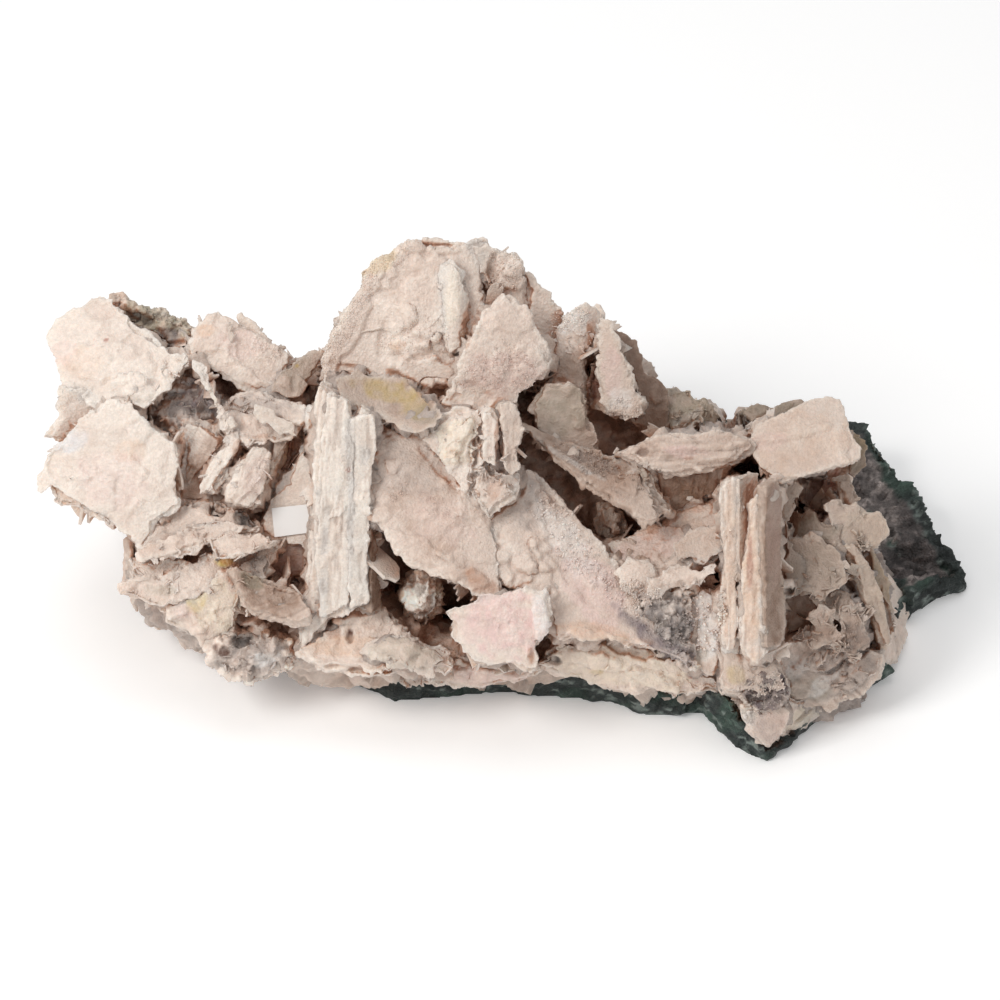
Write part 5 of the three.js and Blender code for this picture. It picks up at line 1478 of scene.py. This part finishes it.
def paint_recess_stain_and_shade(pieces):
    """Iron-brown stain and painted shade in the recesses, over each piece's own colour."""
    brown, deep = linear(CREVICE_STAIN_AND_SHADE), linear(DEEP_HOLLOW_STAIN_AND_SHADE)
    for piece, free in zip(pieces, openness(pieces)):
        colour = growth_colour(piece)
        free = free + 0.06 * noise(coordinates(piece.data) / MM, 3.0, 51)
        # Painted shade with iron stain: browner where little of the space in front is free, dark brown in the
        # deepest hollows.
        near = 0.6 * (1 - smooth_step(free, 0.05, 0.5))
        far = 0.42 * (1 - smooth_step(free, 0.0, 0.18))
        write_growth(piece.data, mixed(mixed(colour, colour * brown * 1.7, near), deep, far))


# ---------------------------------------------------------------- materials
def node(tree, kind, inputs=None, **settings):
    """Adds a shader node, sets its fields, and fills or links its inputs."""
    made = tree.nodes.new("ShaderNode" + kind)
    for field, value in settings.items():
        setattr(made, field, value)
    for socket, value in (inputs or {}).items():
        if isinstance(value, bpy.types.NodeSocket):
            tree.links.new(value, made.inputs[socket])
        else:
            made.inputs[socket].default_value = value
    return made


def plain_material(name, settings):
    """A material whose shader has the given values, and the shader itself."""
    material = bpy.data.materials.new(name)
    material.use_nodes = True
    shader = material.node_tree.nodes["Principled BSDF"]
    for socket, value in settings.items():
        shader.inputs[socket].default_value = value
    return material, shader


def stone_material(name, roughness, bump, speckle, translucency):
    """Stone coloured by its growth attribute, with fine speckle and a crystalline surface."""
    material, shader = plain_material(name, {
        "Roughness": roughness, "IOR": STONE_IOR, "Subsurface Weight": translucency,
        "Subsurface Radius": (1.0, 0.85, 0.75), "Subsurface Scale": 3 * MM})
    tree = material.node_tree
    growth = node(tree, "Attribute", attribute_name="growth")
    place = node(tree, "TexCoord").outputs["Object"]
    fine = node(tree, "TexNoise", {"Vector": place, "Scale": SPECKLES_PER_METRE, "Detail": 4.0,
                                   "Roughness": 0.65})
    grain = node(tree, "TexVoronoi", {"Vector": place, "Scale": GRAINS_PER_METRE})
    shade = node(tree, "MapRange", {"Value": fine.outputs["Fac"], "From Min": 0.3, "From Max": 0.7,
                                    "To Min": 1 - speckle, "To Max": 1 + speckle})
    tint = node(tree, "VectorMath", {0: growth.outputs["Color"], 1: shade.outputs["Result"]},
                operation="MULTIPLY")
    tree.links.new(tint.outputs["Vector"], shader.inputs["Base Color"])
    height = node(tree, "Math", {0: grain.outputs["Distance"], 1: fine.outputs["Fac"]},
                  operation="ADD")
    ridge = node(tree, "Bump", {"Height": height.outputs["Value"], "Strength": bump,
                                "Distance": 0.7 * MM})
    tree.links.new(ridge.outputs["Normal"], shader.inputs["Normal"])
    return material


# ---------------------------------------------------------------- floor, light and camera
def soft_lamp(name, place, aim, size, power, colour):
    lamp = bpy.data.lights.new(name, "AREA")
    lamp.size, lamp.energy, lamp.color = size, power, colour
    holder = linked(name, lamp)
    holder.location = place
    holder.rotation_euler = (Vector(aim) - Vector(place)).to_track_quat("-Z", "Y").to_euler()


def studio():
    """White floor, soft lamps, and the camera where the eye is."""
    scene = bpy.context.scene
    bm = bmesh.new()
    bmesh.ops.create_grid(bm, x_segments=1, y_segments=1, size=3)
    floor = linked("floor", mesh_of(bm, "floor"))
    white = (1, 1, 1, 1)
    # Painted studio floor: matt white, and as bright as the light around it makes it.
    material, _ = plain_material("white studio floor", {
        "Base Color": (0.95, 0.95, 0.95, 1), "Roughness": 0.9, "Emission Color": white,
        "Emission Strength": 0.16})
    floor.data.materials.append(material)
    scene.world = bpy.data.worlds.new("studio")
    scene.world.use_nodes = True
    sky = scene.world.node_tree.nodes["Background"]
    sky.inputs["Color"].default_value = white
    sky.inputs["Strength"].default_value = 0.42
    soft_lamp("key", (-0.75, -0.55, 1.0), (0, 0, 0.04), 0.55, 9.5, (1.0, 0.985, 0.96))
    soft_lamp("fill", (0.9, -0.9, 0.7), (0, 0, 0.05), 1.0, 0.8, (1.0, 0.97, 0.94))
    soft_lamp("top", (0.0, 0.25, 1.2), (0, 0, 0.04), 0.9, 3.5, (0.97, 0.98, 1.0))
    camera = bpy.data.cameras.new("camera")
    camera.sensor_width = SENSOR_WIDTH
    camera.lens = SENSOR_WIDTH * SIGHT_LENGTH / (2 * SHEET_MIDDLE * SHEET_UNIT)
    camera.clip_end = 10
    holder = linked("camera", camera)
    turn = Matrix((RIGHT, UP, -DEEP)).transposed().to_4x4()
    holder.matrix_world = Matrix.Translation(Vector(EYE * MM)) @ turn
    scene.camera = holder
    scene.view_settings.view_transform = "Standard"


# ---------------------------------------------------------------- build
clusters = front_blades()
front_pieces = [piece for lot in clusters.values() for piece in lot]
shown_depth = nearest_depth(front_pieces)
mass = druse_mass(shown_depth)
backs = back_blades(shown_depth, mass)
quartz_pieces = front_pieces + backs + [mass, scattered_bladelets(clusters, mass, backs, shown_depth),
                                        scattered_crystals(clusters, shown_depth)]
for piece in quartz_pieces:
    settle(piece)
slab = basalt_slab()
# Paints iron stain and shade into the recesses of the stone and the slab.
paint_recess_stain_and_shade(quartz_pieces + [slab])
label = paper_label()

# Massive quartz: translucent milk white, with a sugary crust that scatters the light.
quartz_material = stone_material("milky sugary quartz", 0.5, 0.36, 0.09, 0.4)
# Basalt broken by hammer: opaque and dull, with a coarse grain.
basalt_material = stone_material("broken green-black basalt", 0.6, 0.6, 0.25, 0.0)
# Uncoated label paper: matt and even.
paper_material, _ = plain_material("matt white paper", {"Base Color": (*linear(PAPER), 1), "Roughness": 0.75})
for piece in quartz_pieces:
    piece.data.materials.append(quartz_material)
    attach(piece, "root")
    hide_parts("quartz_blades")
slab.data.materials.append(basalt_material)
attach(slab, "root")
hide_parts("basalt_matrix")
label.data.materials.append(paper_material)
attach(label, "root")
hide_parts("paper_label")
studio()
